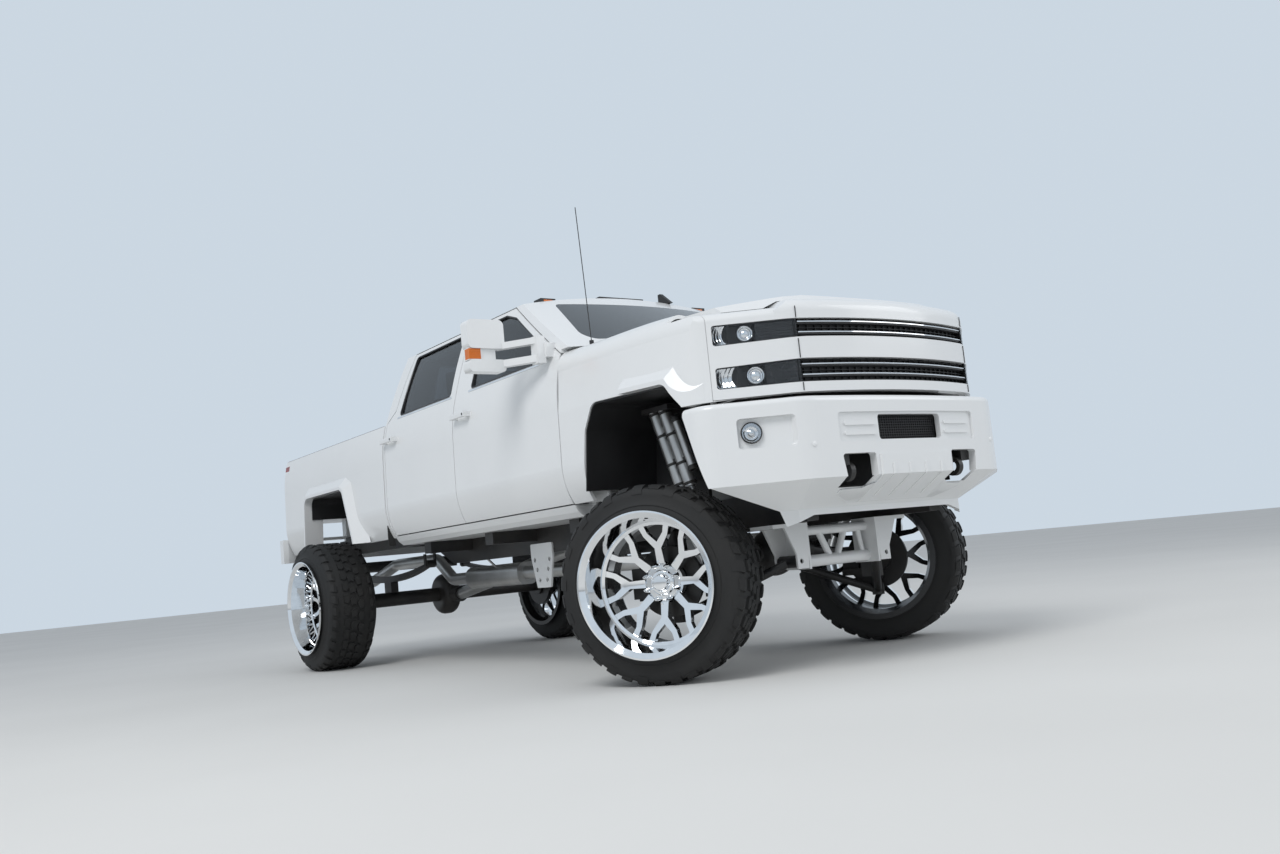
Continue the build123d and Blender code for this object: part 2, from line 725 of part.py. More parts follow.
lamps = [lamp(upper_lamp), lamp(lower_lamp), fog_lamp]
save("front_lamps", *[piece for item in lamps for piece in pair(item)])

# The valance: a chin that leans back under the bumper to an upright lip, in flat facets.
valance_inset = 4.0
chin_slope = 59.0
valance_lip_z = 742.0
valance_low_z = 672.0
valance_mid_z = 714.0
valance_wall = 24.0
valance_rear_x = nose_x - 330.0
valance_facets = 6
chin_drop = bumper_bottom_z - valance_lip_z
lip_shrink = valance_inset + chin_drop * math.tan(math.radians(chin_slope))


def facet_face(shrink, z):
    """The bumper's plan outline pulled in by shrink, with its bow cut into equal chords."""
    bow_angle = 2 * math.atan(bumper_bow / bumper_bend_out)
    bow_radius = bumper_bend_out / math.sin(bow_angle)
    wing_angle = math.atan(bumper_sweep)
    pull = shrink / (1 + math.cos(wing_angle - bow_angle))
    bend_x = bumper_x - bumper_bow - pull * (math.cos(bow_angle) + math.cos(wing_angle))
    bend = bumper_bend_out - pull * (math.sin(bow_angle) + math.sin(wing_angle))
    turns = [bow_angle * (2 * i / valance_facets - 1) for i in range(1, valance_facets)]
    middle_x = bumper_x - bow_radius
    bow = [
        (middle_x + (bow_radius - shrink) * math.cos(turn), (bow_radius - shrink) * math.sin(turn), z)
        for turn in turns
    ]
    end = bumper_out - shrink
    end_x = bend_x - bumper_sweep * (end - bend)
    left = [(bend_x, bend, z), (end_x, end, z), (nose_x - 900, end, z)]
    right = [(x, -out, z) for x, out, z in reversed(left)]
    return make_face(Polyline(*right, *bow, *left, close=True))


def valance_solid(shrink):
    """The space inside the valance's outer face."""
    top = facet_face(valance_inset + shrink, bumper_bottom_z)
    chin = loft([top, facet_face(lip_shrink + shrink, valance_lip_z)], ruled=True)
    lip = extrude(facet_face(lip_shrink + shrink, valance_low_z), amount=valance_lip_z - valance_low_z, dir=(0, 0, 1))
    return chin + lip


lip_cut = [(-640, 600), (-605, 671), (-471, valance_mid_z), (471, valance_mid_z), (605, 671), (640, 600)]
valance_side = [
    (valance_rear_x, bumper_bottom_z),
    (valance_rear_x + 40, valance_low_z),
    (nose_x + 60, valance_low_z),
    (nose_x + 60, bumper_bottom_z),
]
valance = (valance_solid(0) - valance_solid(valance_wall)) & side_prism(valance_side, -1100, 1100)
valance = valance - front_cut(lip_cut, 0) - whole(front_cut(hook_opening, 0))

# The skid plate: flat, bent once under the bumper, with four ribs out to the truck's foremost point.
skid_proud = 6.0
skid_rib_proud = nose_x - bumper_x
skid_out = 240.0
skid_z = (757.0, 958.0)
skid_rib_z = (775.0, 915.0)
skid_rib_half = 8.0
skid_rib_outs = (-165.0, -55.0, 55.0, 165.0)


def skid_prism(proud, low_z, high_z, y_from, y_to):
    """A plate along the bumper's foot and the chin, its front face proud of the bumper's middle."""
    front = bumper_x + proud
    fall = (bumper_bottom_z - low_z) * math.tan(math.radians(chin_slope))
    outline = [(front, high_z), (front, bumper_bottom_z), (front - fall, low_z)]
    behind = [(x - 60, z) for x, z in reversed(outline)]
    return side_prism(outline + behind, y_from, y_to)


skid = skid_prism(skid_proud, *skid_z, -skid_out, skid_out)
for y in skid_rib_outs:
    skid = skid + skid_prism(skid_rib_proud, *skid_rib_z, y - skid_rib_half, y + skid_rib_half)
bumper_core = extrude(bumper_face(0, bumper_bottom_z), amount=200, dir=(0, 0, 1))
skid = skid - bumper_core - valance_solid(0)
save("valance", valance, skid)

rail_inner = 390.0
rail_outer = rail_inner + frame_rail_width
hook_out = rail_inner - 14.0
hook_x = nose_x - 105.0
hook_z = 893.0
hook_place = Pos(hook_x, -hook_out, hook_z) * Rot(90, 0, 0)
hook = block(2710, hook_x, hook_out - 14, rail_inner, hook_z - 20, hook_z + 20) + hook_place * Cylinder(46, 28)
save("tow_hooks", *pair(hook - hook_place * Cylinder(24, 60)))


# The bed: double side walls, floor, front wall and wheel tubs, open at the tailgate.
bed_inner_out = 815.0
bed_front_wall = 50.0
tub_inner_out = 620.0
tub_wall = 25.0
tub_top_z = 1352.0
tailgate_half_width = 770.0
tailgate_x = bed_rear_x + tailgate_thickness
rear_arch = [
    (-1330, 800), (-1388, 968), (-1515, 1295), (-1560, 1316), (-2275, 1316), (-2305, 1270), (-2335, 956), (-2350, 800)
]
bed_outline = [
    (bed_front_x, bed_bottom_z), (bed_front_x, bed_rail_z), (bed_rear_x, bed_rail_z), (bed_rear_x, bed_bottom_z)
]
floor_thickness = 24.0
bed = half_body(bed_rear_x, bed_front_x) & side_prism(bed_outline, 0, 1100)
bed = bed + (flare(rear_arch) & side_prism(bed_outline, 0, 1100))
inner_back_x = tailgate_x + 10
bed = bed - block(inner_back_x, bed_front_x - bed_front_wall, -10, bed_inner_out, bed_floor_z, 1800)
bed = bed - block(bed_rear_x - 10, inner_back_x, -10, tailgate_half_width + 6, 700, 1800)
bed = bed - block(bed_rear_x - 10, bed_front_x + 10, -10, 868, 700, bed_floor_z - floor_thickness)
tub = block(rear_axle_x - 500, rear_axle_x + 500, tub_inner_out, bed_inner_out + 60, bed_floor_z - floor_thickness, tub_top_z)
bed = bed + tub - side_prism(rear_arch, tub_inner_out + tub_wall, 1100, radius=60)
sill_xs = [-1200.0, -1550.0, -2200.0, -2560.0]
bed_rail_top_z = 1020.0
bed = bed + [block(x - 40, x + 40, -1, 600, bed_rail_top_z, bed_floor_z - floor_thickness) for x in sill_xs]
lamp_out = (802.0, 945.0)
lamp_z = (1260.0, 1640.0)
lamp_depth = 90.0
tail_lamp_space = block(bed_rear_x - 10, bed_rear_x + lamp_depth, *lamp_out, *lamp_z)
tail_lamp = bed & tail_lamp_space
bed = bed - tail_lamp_space
save("bed", whole(bed))
save("tail_lamps", *pair(tail_lamp))

tailgate = block(bed_rear_x, tailgate_x, -1, tailgate_half_width, 1160, bed_rail_z - 6)
tailgate = tailgate - block(bed_rear_x - 1, bed_rear_x + 10, 230, 640, 1250, 1560)
tailgate = whole(tailgate - block(bed_rear_x - 1, bed_rear_x + 26, -1, 115, 1585, 1640))
tailgate_pin = rod((bed_rear_x + 15, tailgate_half_width - 5, 1175), (bed_rear_x + 15, tailgate_half_width + 6, 1175), 10)
save("tailgate", tailgate + whole(tailgate_pin))

rear_bumper_low_z = 841.0
rear_bumper_high_z = 1034.0
rear_bumper_x = bed_rear_x - 6
rear_bumper_plan = [
    (tail_x, 700), (tail_x, -700), (tail_x + 45, -995), (rear_bumper_x, -1000), (rear_bumper_x, 1000),
    (tail_x + 45, 995),
]
rear_bumper = plan_prism(rear_bumper_plan, rear_bumper_low_z, rear_bumper_high_z)
rear_bumper = rear_bumper - plan_prism(
    [(tail_x + 30, 690), (tail_x + 30, -690), (rear_bumper_x + 1, -960), (rear_bumper_x + 1, 960)],
    rear_bumper_low_z - 1,
    rear_bumper_high_z - 24,
)
rear_bumper = rear_bumper - whole(block(tail_x - 1, tail_x + 60, 420, 640, rear_bumper_high_z - 60, rear_bumper_high_z + 1))
save("rear_bumper", rear_bumper)

# The hitch receiver: a square socket on a cross tube, with side plates up to the frame.
receiver_bore = 63.5
receiver_wall = 9.5
receiver_z = 745.0
receiver_x = tail_x + 30
receiver_outer = receiver_bore / 2 + receiver_wall
hitch_tube_x = receiver_x + 211.5
hitch_tube = rod((hitch_tube_x, -500, receiver_z), (hitch_tube_x, 500, receiver_z), 45)
receiver = whole(block(receiver_x, hitch_tube_x + 40, 0, receiver_outer, receiver_z - receiver_outer, receiver_z + receiver_outer))
hitch_plate = block(hitch_tube_x - 60, hitch_tube_x + 88, rail_outer, rail_outer + 12, receiver_z - 50, 950)
receiver_hole = Pos(receiver_x + 90, 0, receiver_z) * Box(400, receiver_bore, receiver_bore)
hitch = hitch_tube + receiver + whole(hitch_plate) - receiver_hole
save("hitch_receiver", hitch - rod((receiver_x + 55, -60, receiver_z), (receiver_x + 55, 60, receiver_z), 8))

# The chassis frame: two side rails with cross tubes, cab outriggers and spring hangers.
rail_low_z = 690.0
rear_rail_low_z = 860.0
rail_front_x = 2740.0
kick_front = [(cab_rear_x - 4, rail_high_z), (-880, rail_low_z)]
kick_rear = [(-1170, bed_rail_top_z), (-1250, rear_rail_low_z)]
rail_end_x = bed_rear_x + 20
rail_sections = [
    [(rail_front_x, rail_low_z), (rail_front_x, rail_high_z), *kick_front],
    [*kick_front, *reversed(kick_rear)],
    [*kick_rear, (rail_end_x, rear_rail_low_z), (rail_end_x, bed_rail_top_z)],
]
rails = [side_prism(section, rail_inner, rail_outer) for section in rail_sections]
spring_out = 520.0
spring_eye_front_x = -1150.0
spring_eye_rear_x = -2640.0
outriggers = [block(x - 50, x + 50, rail_outer, 780, 770, rail_high_z) for x in (-620.0, 260.0, 1250.0)]
hangers = [
    block(spring_eye_front_x - 60, spring_eye_front_x + 60, rail_outer, spring_out - 36, 780, 860),
    block(spring_eye_rear_x - 60, spring_eye_rear_x + 60, rail_outer, spring_out - 36, 780, 900),
]
arm_riser = block(rail_front_x - 40, rail_front_x, rail_inner, rail_outer, rail_high_z, 1010)
bumper_arm = block(rail_front_x, nose_x - 51.5, rail_inner, rail_outer, 920, 1010) & bumper_plan(bumper_wall, 700, 1200)
rear_arm = block(tail_x + 21.5, rail_end_x, rail_inner, rail_outer, 900, 990) - rear_bumper
side_members = rails + outriggers + hangers + [arm_riser, bumper_arm, rear_arm]
# Columns: x and z of each cross tube
cross_tubes = [
    (2560.0, 770.0), (1180.0, 668.0), (-200.0, 795.0), (-1300.0, 940.0), (-2300.0, 940.0), (-2820.0, 930.0)
]
tubes = [rod((x, -rail_inner, z), (x, rail_inner, z), 42) for x, z in cross_tubes]
frame = Compound(children=[piece for member in side_members for piece in pair(member)] + tubes)
export_step(frame, "parts/chassis_frame.step")


# Lift brackets: the truss cross member under the nose and the drilled plates under the cab.
truss_x = 2420.0
truss_tube_z = 650.0
truss_low_z = 500.0
arm_pivot_out = 300.0
arm_pivot_z = 506.0
arm_pivot_xs = (truss_x, 1700.0)


def truss(x):
    """Two drop brackets joined by a lower tube and two leaning braces."""
    bracket = [
        (arm_pivot_out - 62, 690), (arm_pivot_out + 100, 690), (arm_pivot_out + 28, 540), (arm_pivot_out + 28, 470),
        (arm_pivot_out - 45, 470),
    ]
    cheeks = section_prism(bracket, x - 82, x + 82) - section_prism(bracket, x - 70, x + 70)
    top = block(x - 82, x + 82, arm_pivot_out - 62, rail_outer, 672, 690)
    web = block(x - 82, x + 82, arm_pivot_out - 62, arm_pivot_out - 50, truss_low_z - 36, 690)
    tube = rod((x, 0, truss_low_z), (x, arm_pivot_out - 52, truss_low_z), 30)
    high_tube = rod((x, 0, truss_tube_z), (x, arm_pivot_out - 52, truss_tube_z), 24)
    brace = rod((x, 18, truss_low_z), (x, 95, truss_tube_z), 17)
    strut = rod((x, 212, truss_low_z), (x, 188, truss_tube_z), 14)
    bolt_hole = rod((x - 90, arm_pivot_out, arm_pivot_z), (x + 90, arm_pivot_out, arm_pivot_z), 12)
    return whole(cheeks + top + web + tube + high_tube + brace + strut - bolt_hole)


plate_x = 365.0
plate_half_top = 130.0
plate_half_low = 80.0
plate_top_z = 690.0
plate_low_z = 474.0
plate_hole_radius = 14.0


def drilled_plate():
    """A trapezoid plate with six holes, hung from the frame rail."""
    outline = [
        (plate_x - plate_half_top, plate_top_z + 60), (plate_x + plate_half_top, plate_top_z + 60),
        (plate_x + plate_half_top, plate_top_z - 30), (plate_x + plate_half_low, plate_low_z),
        (plate_x - plate_half_low, plate_low_z), (plate_x - plate_half_top, plate_top_z - 30),
    ]
    plate = side_prism(outline, rail_outer, rail_outer + 12, radius=10)
    for row, half in ((648.0, 88.0), (588.0, 66.0), (522.0, 44.0)):
        for side in (-1, 1):
            x = plate_x + side * half
            plate = plate - rod((x, rail_outer - 5, row), (x, rail_outer + 20, row), plate_hole_radius)
    return plate


save("lift_brackets", *[truss(x) for x in arm_pivot_xs], *pair(drilled_plate()))

# Front suspension: lower and upper arms, paired shocks, drive unit and steering link.
kingpin_x = front_axle_x
lower_ball_z = 330.0
upper_ball_z = 640.0
upper_pivot_z = 760.0
arm_ball_radius = 34.0


def wishbone(pivots, pivot_out, pivot_z, ball_z, cup_zs, bar):
    """Two legs from the frame pivots to one ball joint on the kingpin."""
    ball = (kingpin_x, front_kingpin_out, ball_z)
    legs = [rod((x, pivot_out, pivot_z), ball, bar) for x in pivots]
    bushes = [rod((x - 64, pivot_out, pivot_z), (x + 64, pivot_out, pivot_z), bar + 8) for x in pivots]
    cup = rod((kingpin_x, front_kingpin_out, cup_zs[0]), (kingpin_x, front_kingpin_out, cup_zs[1]), arm_ball_radius)
    return legs[0] + legs[1] + bushes + cup


lower_arm = wishbone(arm_pivot_xs, arm_pivot_out, arm_pivot_z, 288.0, (264.0, lower_ball_z), 22)
lower_arm = lower_arm + block(2085, 2205, 540, 580, 375, 560)
upper_arm = wishbone((1880.0, 2020.0), 500.0, upper_pivot_z, 690.0, (upper_ball_z, 712.0), 18)
save("control_arms", *pair(lower_arm), *pair(upper_arm))

shock_top_xs = (1916.0, 1996.0)
shock_lean = 0.24
shock_top_z = 1325.0
shock_low_z = 560.0
shock_outs = (560.0, 655.0)
shock_split_z = 930.0


def shock(top_x):
    """A damper leaning back at the top: rod below, body above."""

    def at(z):
        t = (z - shock_low_z) / (shock_top_z - shock_low_z)
        return (top_x + shock_lean * (shock_top_z - z), shock_outs[0] + t * (shock_outs[1] - shock_outs[0]), z)

    return rod(at(shock_low_z - 12), at(shock_split_z), 15) + rod(at(shock_split_z), at(shock_top_z + 12), 32)


shock_tower = block(1860, 2080, rail_outer, 700, shock_top_z, shock_top_z + 24)
shock_tower = shock_tower + block(1860, 2080, rail_outer, rail_outer + 20, 800, shock_top_z)
shocks = [shock(x) - shock_tower - lower_arm - upper_arm for x in shock_top_xs]
save("front_shocks", *[piece for item in shocks for piece in pair(item)])
save("shock_towers", *pair(shock_tower))

front_diff_z = 560.0
front_diff_out = 60.0
diff_ball = Pos(front_axle_x + 10, -front_diff_out, front_diff_z) * Sphere(125)
front_tube = rod((front_axle_x + 10, -190, front_diff_z), (front_axle_x + 10, 190, front_diff_z), 52)
half_shaft = rod((front_axle_x + 10, 190, front_diff_z), (front_axle_x, front_kingpin_out - 40, axle_z), 24)
drive_bar = rod((1960, 0, 620), (1960, 430, 620), 20) + block(1940, 1980, 395, 440, 600, 690)
front_drive = diff_ball + front_tube + whole(half_shaft + drive_bar)
save("front_drive", front_drive)

# Rear axle, leaf springs and drive shaft.
rear_tube_out = rear_lip_out - hub_face_depth - 0.3
rear_diff_out = 60.0
rear_cover = Pos(rear_axle_x, -rear_diff_out, axle_z) * Rot(90, 0, 0) * Cylinder(158, 150)
rear_cover = fillet(rear_cover.edges().filter_by(GeomType.CIRCLE), 60)
pinion = rod((rear_axle_x, rear_diff_out, axle_z), (-1640, rear_diff_out - 20, axle_z - 8), 62)
rear_tube = rod((rear_axle_x, -rear_tube_out + 40, axle_z), (rear_axle_x, rear_tube_out - 40, axle_z), 54)
brake_disc = rod((rear_axle_x, 800, axle_z), (rear_axle_x, 838, axle_z), 172)
rear_hub = rod((rear_axle_x, 780, axle_z), (rear_axle_x, rear_tube_out, axle_z), 84)
rear_nose = rod((rear_axle_x, rear_tube_out - 2, axle_z), (rear_axle_x, rear_tube_out + 80, axle_z), hub_hole_radius - 2)
caliper = block(rear_axle_x + 90, rear_axle_x + 200, 790, 850, axle_z - 60, axle_z + 80)
rear_axle = rear_tube + rear_cover + pinion + whole(brake_disc + rear_hub + rear_nose + caliper)
save("rear_axle", rear_axle)

leaf_half_width = 32.0
leaf_stack = 48.0


def leaf_spring():
    """A curved leaf pack with a lift block and shackle."""
    outline_z = 700.0
    low = ThreePointArc(
        (spring_eye_front_x, -spring_out + leaf_half_width, outline_z),
        (rear_axle_x, -spring_out + leaf_half_width, 600),
        (spring_eye_rear_x, -spring_out + leaf_half_width, outline_z),
    )
    high = ThreePointArc(
        (spring_eye_front_x, -spring_out + leaf_half_width, outline_z + 14),
        (rear_axle_x, -spring_out + leaf_half_width, 600 + leaf_stack),
        (spring_eye_rear_x, -spring_out + leaf_half_width, outline_z + 14),
    )
    face = make_face([low, high, Line(low @ 0, high @ 0), Line(low @ 1, high @ 1)])
    pack = extrude(face, amount=2 * leaf_half_width, dir=(0, -1, 0))
    eyes = [
        rod((x, spring_out - leaf_half_width, outline_z + 7), (x, spring_out + leaf_half_width, outline_z + 7), 28)
        for x in (spring_eye_front_x, spring_eye_rear_x)
    ]
    links = [
        block(x - 16, x + 16, spring_out + side * (leaf_half_width + 6) - 5, spring_out + side * (leaf_half_width + 6) + 5,
              690, 780)
        for x in (spring_eye_front_x, spring_eye_rear_x)
        for side in (-1, 1)
    ]
    pins = [
        rod((x, spring_out - leaf_half_width - 11, outline_z + 7), (x, spring_out + leaf_half_width + 11, outline_z + 7), 9)
        for x in (spring_eye_front_x, spring_eye_rear_x)
    ]
    lift_block = block(rear_axle_x - 62, rear_axle_x + 62, spring_out - 30, spring_out + 30, axle_z + 50, 602)
    return pack + eyes + links + pins + lift_block


axle_solid = rod((rear_axle_x, 300, axle_z), (rear_axle_x, 760, axle_z), 54)
save("leaf_springs", *pair(leaf_spring() - axle_solid))

shaft_radius = 45.0
gearbox_end = (60.0, 40.0, 712.0)
shaft = rod((-1640, rear_diff_out - 20, axle_z - 8), gearbox_end, shaft_radius)

# Engine and gearbox as one plain block, fuel tank, exhaust, radiator.
engine = block(1535, 2360, -300, 300, 790, 1500)
gearbox = block(500, 1535, -190, 190, 716, 838)
output = rod(gearbox_end, (510, 40, 760), 76) - gearbox
save("power_unit", engine, gearbox, output)
save("drive_shaft", shaft - rear_axle - output)
save("fuel_tank", fillet(block(-1000, 60, -rail_inner, -80, 545, 745).edges().filter_by(Axis.X), 50))
exhaust_radius = 44.0
exhaust_points = [
    (1300, 290, 575), (-1250, 290, 575), (-1500, 290, 740), (-2250, 290, 740), (-2500, 420, 610), (-2860, 840, 610),
]
exhaust_path = FilletPolyline(*[(x, -out, z) for x, out, z in exhaust_points], radius=120)
exhaust = sweep(Plane(exhaust_path @ 0, z_dir=exhaust_path % 0) * Circle(exhaust_radius), path=exhaust_path)
muffler = fillet(block(-900, -150, 210, 370, 500, 650).edges().filter_by(Axis.X), 60)
pipe_hangers = [rod((x, 300, 600), (x, 400, 700), 8) for x in (950.0, -500.0)]
save("exhaust", exhaust + muffler + pipe_hangers - frame)

# Wheel well liners.
liner_thickness = 8.0


def liner(arch, inner_out, x_from, x_to, low_z, radius):
    """A strip inside the wheel opening, closed towards the engine or the bed."""
    outer = side_prism(arch, inner_out, 955, radius=radius)
    inner = through(grown(arch, -liner_thickness, radius), inner_out + liner_thickness, 960)
    return (outer - inner) & block(x_from, x_to, 0, 1100, low_z, 1800)


front_liner = liner(front_arch, 500, 1500, 2555, 962, 70) - shock_tower
rear_liner = liner(rear_arch, tub_inner_out + tub_wall, -2400, -1300, 1150, 60)
save("wheel_liners", *pair(front_liner), *pair(rear_liner))


# Wheels. Each is drawn round the Y axis at the origin, its outer side towards +Y.
# Wheel depths are measured inward from the outer lip.
def turned(points, origin_out):
    """A ring of revolution from (radius, depth) points."""
    corners = [(0, origin_out - depth, radius) for radius, depth in points]
    return revolve(make_face(Polyline(*corners, close=True)), Axis.Y)


rim_wall = 12.0
step_depth = 170.0
step_radius = 292.0
spoke_ring_depth = 196.0
hub_radius = 100.0
bead_radius = 322.0


def rim(lip_out):
    """A deep-lip rim: barrel, step ring, eight forked spokes and a hub."""
    barrel = turned(
        [
            (rim_lip_radius, 0), (rim_lip_radius, 10), (bead_radius, 24), (bead_radius - 4, 60),
            (step_radius + rim_wall, step_depth), (step_radius + rim_wall, rim_width - 60),
            (bead_radius, rim_width - 30), (rim_lip_radius, rim_width - 12), (rim_lip_radius, rim_width),
            (bead_radius - 8, rim_width), (step_radius, rim_width - 55), (step_radius, spoke_ring_depth + 30),
            (step_radius - 14, spoke_ring_depth), (step_radius - 14, step_depth), (step_radius, step_depth - 6),
            (bead_radius - 16, 60), (bead_radius - 10, 20), (rim_lip_radius - 8, 0),
        ],
        lip_out,
    )
    hub = turned(
        [
            (hub_hole_radius, 232), (hub_radius - 18, 232), (hub_radius, 250), (hub_radius, hub_face_depth),
            (hub_hole_radius, hub_face_depth),
        ],
        lip_out,
    )
    spoke = spoke_shape(lip_out)
    spokes = [Rot(0, 360.0 * i / spoke_count, 0) * spoke for i in range(spoke_count)]
    return barrel + hub + spokes


def spoke_shape(lip_out):
    """One forked spoke, dished inward towards the hub."""
    fork = [
        (-20, hub_radius - 8), (-17, 165), (-62, 225), (-86, step_radius - 6), (-58, step_radius + 4), (-40, 240),
        (0, 196), (40, 240), (58, step_radius + 4), (86, step_radius - 6), (62, 225), (17, 165), (20, hub_radius - 8),
    ]
    corners = [(x, 0, z) for x, z in fork]
    flat = make_face(Polyline(*corners, close=True))
    solid = extrude(flat, amount=rim_width, dir=(0, 1, 0))
    dish = turned(
        [
            (hub_radius - 16, 236), (step_radius + 2, step_depth + 8), (step_radius + 2, step_depth + 44),
            (hub_radius - 16, 292),
        ],
        0,
    )
    return Pos(0, lip_out, 0) * (Pos(0, -rim_width, 0) * solid & dish)


tread_half = 152.0


def tyre(lip_out):
    """A stretched low-profile tyre, out to the tips of its lugs."""
    mid = rim_width / 2
    half = tyre_width / 2
    return turned(
        [
            (bead_radius + 1, 26), (rim_lip_radius + 4, 27), (rim_lip_radius + 40, mid - half),
            (tyre_radius - 55, mid - half), (tyre_radius - 24, mid - half + 6), (tyre_radius, mid - tread_half + 10),
            (tyre_radius, mid + tread_half - 10), (tyre_radius - 24, mid + half - 6), (tyre_radius - 55, mid + half),
            (rim_lip_radius + 40, mid + half), (rim_lip_radius + 4, rim_width - 34), (bead_radius + 1, rim_width - 34),
            (step_radius + rim_wall + 1, rim_width - 64), (step_radius + rim_wall + 1, step_depth + 1),
            (bead_radius - 3, 61),
        ],
        lip_out,
    )


# Columns: x of the axle, distance out of the wheel's own origin, steering angle
wheel_places = {
    "front": (front_axle_x, front_kingpin_out, steer_angle),
    "rear": (rear_axle_x, rear_lip_out - front_lip_offset, 0.0),
}


def place_wheel(name, end, shape):
    """Saves a left-hand shape at both ends of an axle."""
    x, out, turn = wheel_places[end]
    save(f"{name}_left", Pos(x, out, axle_z) * Rot(0, 0, turn) * shape)
    save(f"{name}_right", Pos(x, -out, axle_z) * Rot(0, 0, turn) * left_of(shape))


plain_rim = rim(front_lip_offset)
plain_tyre = tyre(front_lip_offset) - plain_rim
for end in wheel_places:
    place_wheel(f"rim_{end}", end, plain_rim)
    place_wheel(f"tyre_{end}", end, plain_tyre)

# Steering knuckles: an upright with two ball posts, a brake disc and the hub.
hub_clearance = 0.3
disc_from = front_lip_offset - hub_face_depth - 34
hub_end = front_lip_offset - hub_face_depth - hub_clearance


def kingpin_rod(z_from, z_to, radius):
    return Solid.make_cylinder(radius, z_to - z_from, Plane((0, 0, z_from - axle_z)))


def spin_rod(y_from, y_to, radius):
    return Solid.make_cylinder(radius, y_to - y_from, Plane((0, y_from, 0), z_dir=(0, 1, 0)))


def knuckle():
    """The upright at the origin, its outer side towards +Y and the kingpin along Z."""
    posts = kingpin_rod(lower_ball_z, lower_ball_z + 60, 26) + kingpin_rod(upper_ball_z - 60, upper_ball_z, 26)
    upright = Pos(0, 20, 15) * Box(60, 44, upper_ball_z - lower_ball_z - 40)
    hub = spin_rod(0, hub_end, 82) + spin_rod(disc_from, disc_from + 30, 172)
    nose = spin_rod(hub_end - 2, hub_end + 80, hub_hole_radius - 2)
    caliper = Pos(-150, disc_from + 4, 0) * Box(90, 60, 150)
    steering_arm = Pos(-110, 16, -70) * Box(170, 30, 36)
    return upright + posts + hub + nose + caliper + steering_arm


place_wheel("knuckle", "front", knuckle())

# Towing mirrors: an upper and a lower head on two flat arms from a foot on the door.
mirror_head_x = (1128.0, 1205.0)
mirror_head_out = (1096.0, 1318.0)
upper_head_z = (1800.0, 1960.0)
lower_head_z = (1672.0, 1740.0)
mirror_post = [(1135, 1150), (1190, 1150), (1190, 1235), (1135, 1235)]
marker_out = 1240.0
mirror_arm = [(1135, 1110), (1180, 1130), (1385, 985), (1320, 975)]
arm_zs = ((1800.0, 1835.0), (1700.0, 1738.0))


def towing_mirror():
    heads = []
    for low, high, round_off in ((*upper_head_z, 30), (*lower_head_z, 22)):
        head = block(*mirror_head_x, *mirror_head_out, low, high)
        heads.append(fillet(head.edges().filter_by(Axis.X), round_off))
    post = plan_prism(mirror_post, lower_head_z[1] - 5, upper_head_z[0] + 5)
    marker = block(1140, 1195, marker_out - 6, mirror_head_out[1] - 4, lower_head_z[1] - 3, upper_head_z[0] + 3)
    arms = [plan_prism(mirror_arm, low, high) for low, high in arm_zs]
    knuckle_block = block(1318, 1385, 950, 1000, 1690, 1840)
    foot = block(1318, 1400, 850, 955, 1722, 1800)
    return heads[0] + heads[1] + post + marker + arms + knuckle_block + foot


mirror_right = towing_mirror() - body
save("mirror_right", mirror_right)
save("mirror_left", left_of(mirror_right))

# Roof: five marker lamps, a short fin aerial, and the mast on the right fender.
roof_lamp_x = 850.0


def roof_top(out):
    radius = (rail_out**2 + (roof_z - rail_z) ** 2) / (2 * (roof_z - rail_z))
    return roof_z - out**2 / (2 * radius)


single_lamp_out = 579.0
lamp_bar_half = 170.0
lamp_bar_x = 780.0
bar_low_z = roof_top(lamp_bar_half) - 8
roof_lamps = [
    block(roof_lamp_x - 60, roof_lamp_x + 20, out - 52, out + 52, roof_top(out) - 12, roof_top(out) + 18)
    for out in (single_lamp_out, -single_lamp_out)
]
roof_lamps.append(block(lamp_bar_x - 40, lamp_bar_x + 40, -lamp_bar_half, lamp_bar_half, bar_low_z, roof_z + 25))
save("roof_lamps", *[piece - whole(body) for piece in roof_lamps])
fin = side_prism([(800, 2190), (940, 2190), (824, 2283), (800, 2283)], -330, -306)
save("fin_aerial", fin - whole(body))
mast_base = (1674.0, 840.0, 1715.0)
mast = rod(mast_base, (1635.0, 840.0, 2492.0), 2.4) + rod(mast_base, (1672.0, 840.0, 1755.0), 12)
save("mast_aerial", mast - fender_solid(0))

# Inside the cab: two front seats, a rear bench, the dashboard and the steering wheel.
seat_top_z = 1290.0


def seat(x, out_from, out_to):
    """A seat: cushion, leaning back and head restraint, on a plinth."""
    cushion = block(x - 260, x + 260, out_from, out_to, seat_top_z - 150, seat_top_z)
    plinth = block(x - 200, x + 200, out_from + 60, out_to - 60, floor_z, seat_top_z - 150)
    back = side_prism(
        [(x - 190, seat_top_z), (x - 330, seat_top_z + 560), (x - 420, seat_top_z + 560), (x - 300, seat_top_z - 40)],
        out_from + 10,
        out_to - 10,
    )
    middle = (out_from + out_to) / 2
    rest = block(x - 410, x - 320, middle - 120, middle + 120, seat_top_z + 560, seat_top_z + 740)
    return [cushion, plinth, back - cushion, rest]


front_seats = [piece for solid in seat(760, 180, 680) for piece in pair(solid)]
bench = [piece for solid in seat(-230, 0, 690) for piece in pair(solid)]
save("seats", *front_seats, *bench)

dash_profile = [(1180, 1480), (1200, 1640), (1440, 1690), (1465, 1690), (1465, 1100), (1330, 1100), (1330, 1400)]
dashboard = whole(side_prism(dash_profile, -1, 735))
save("dashboard", dashboard)

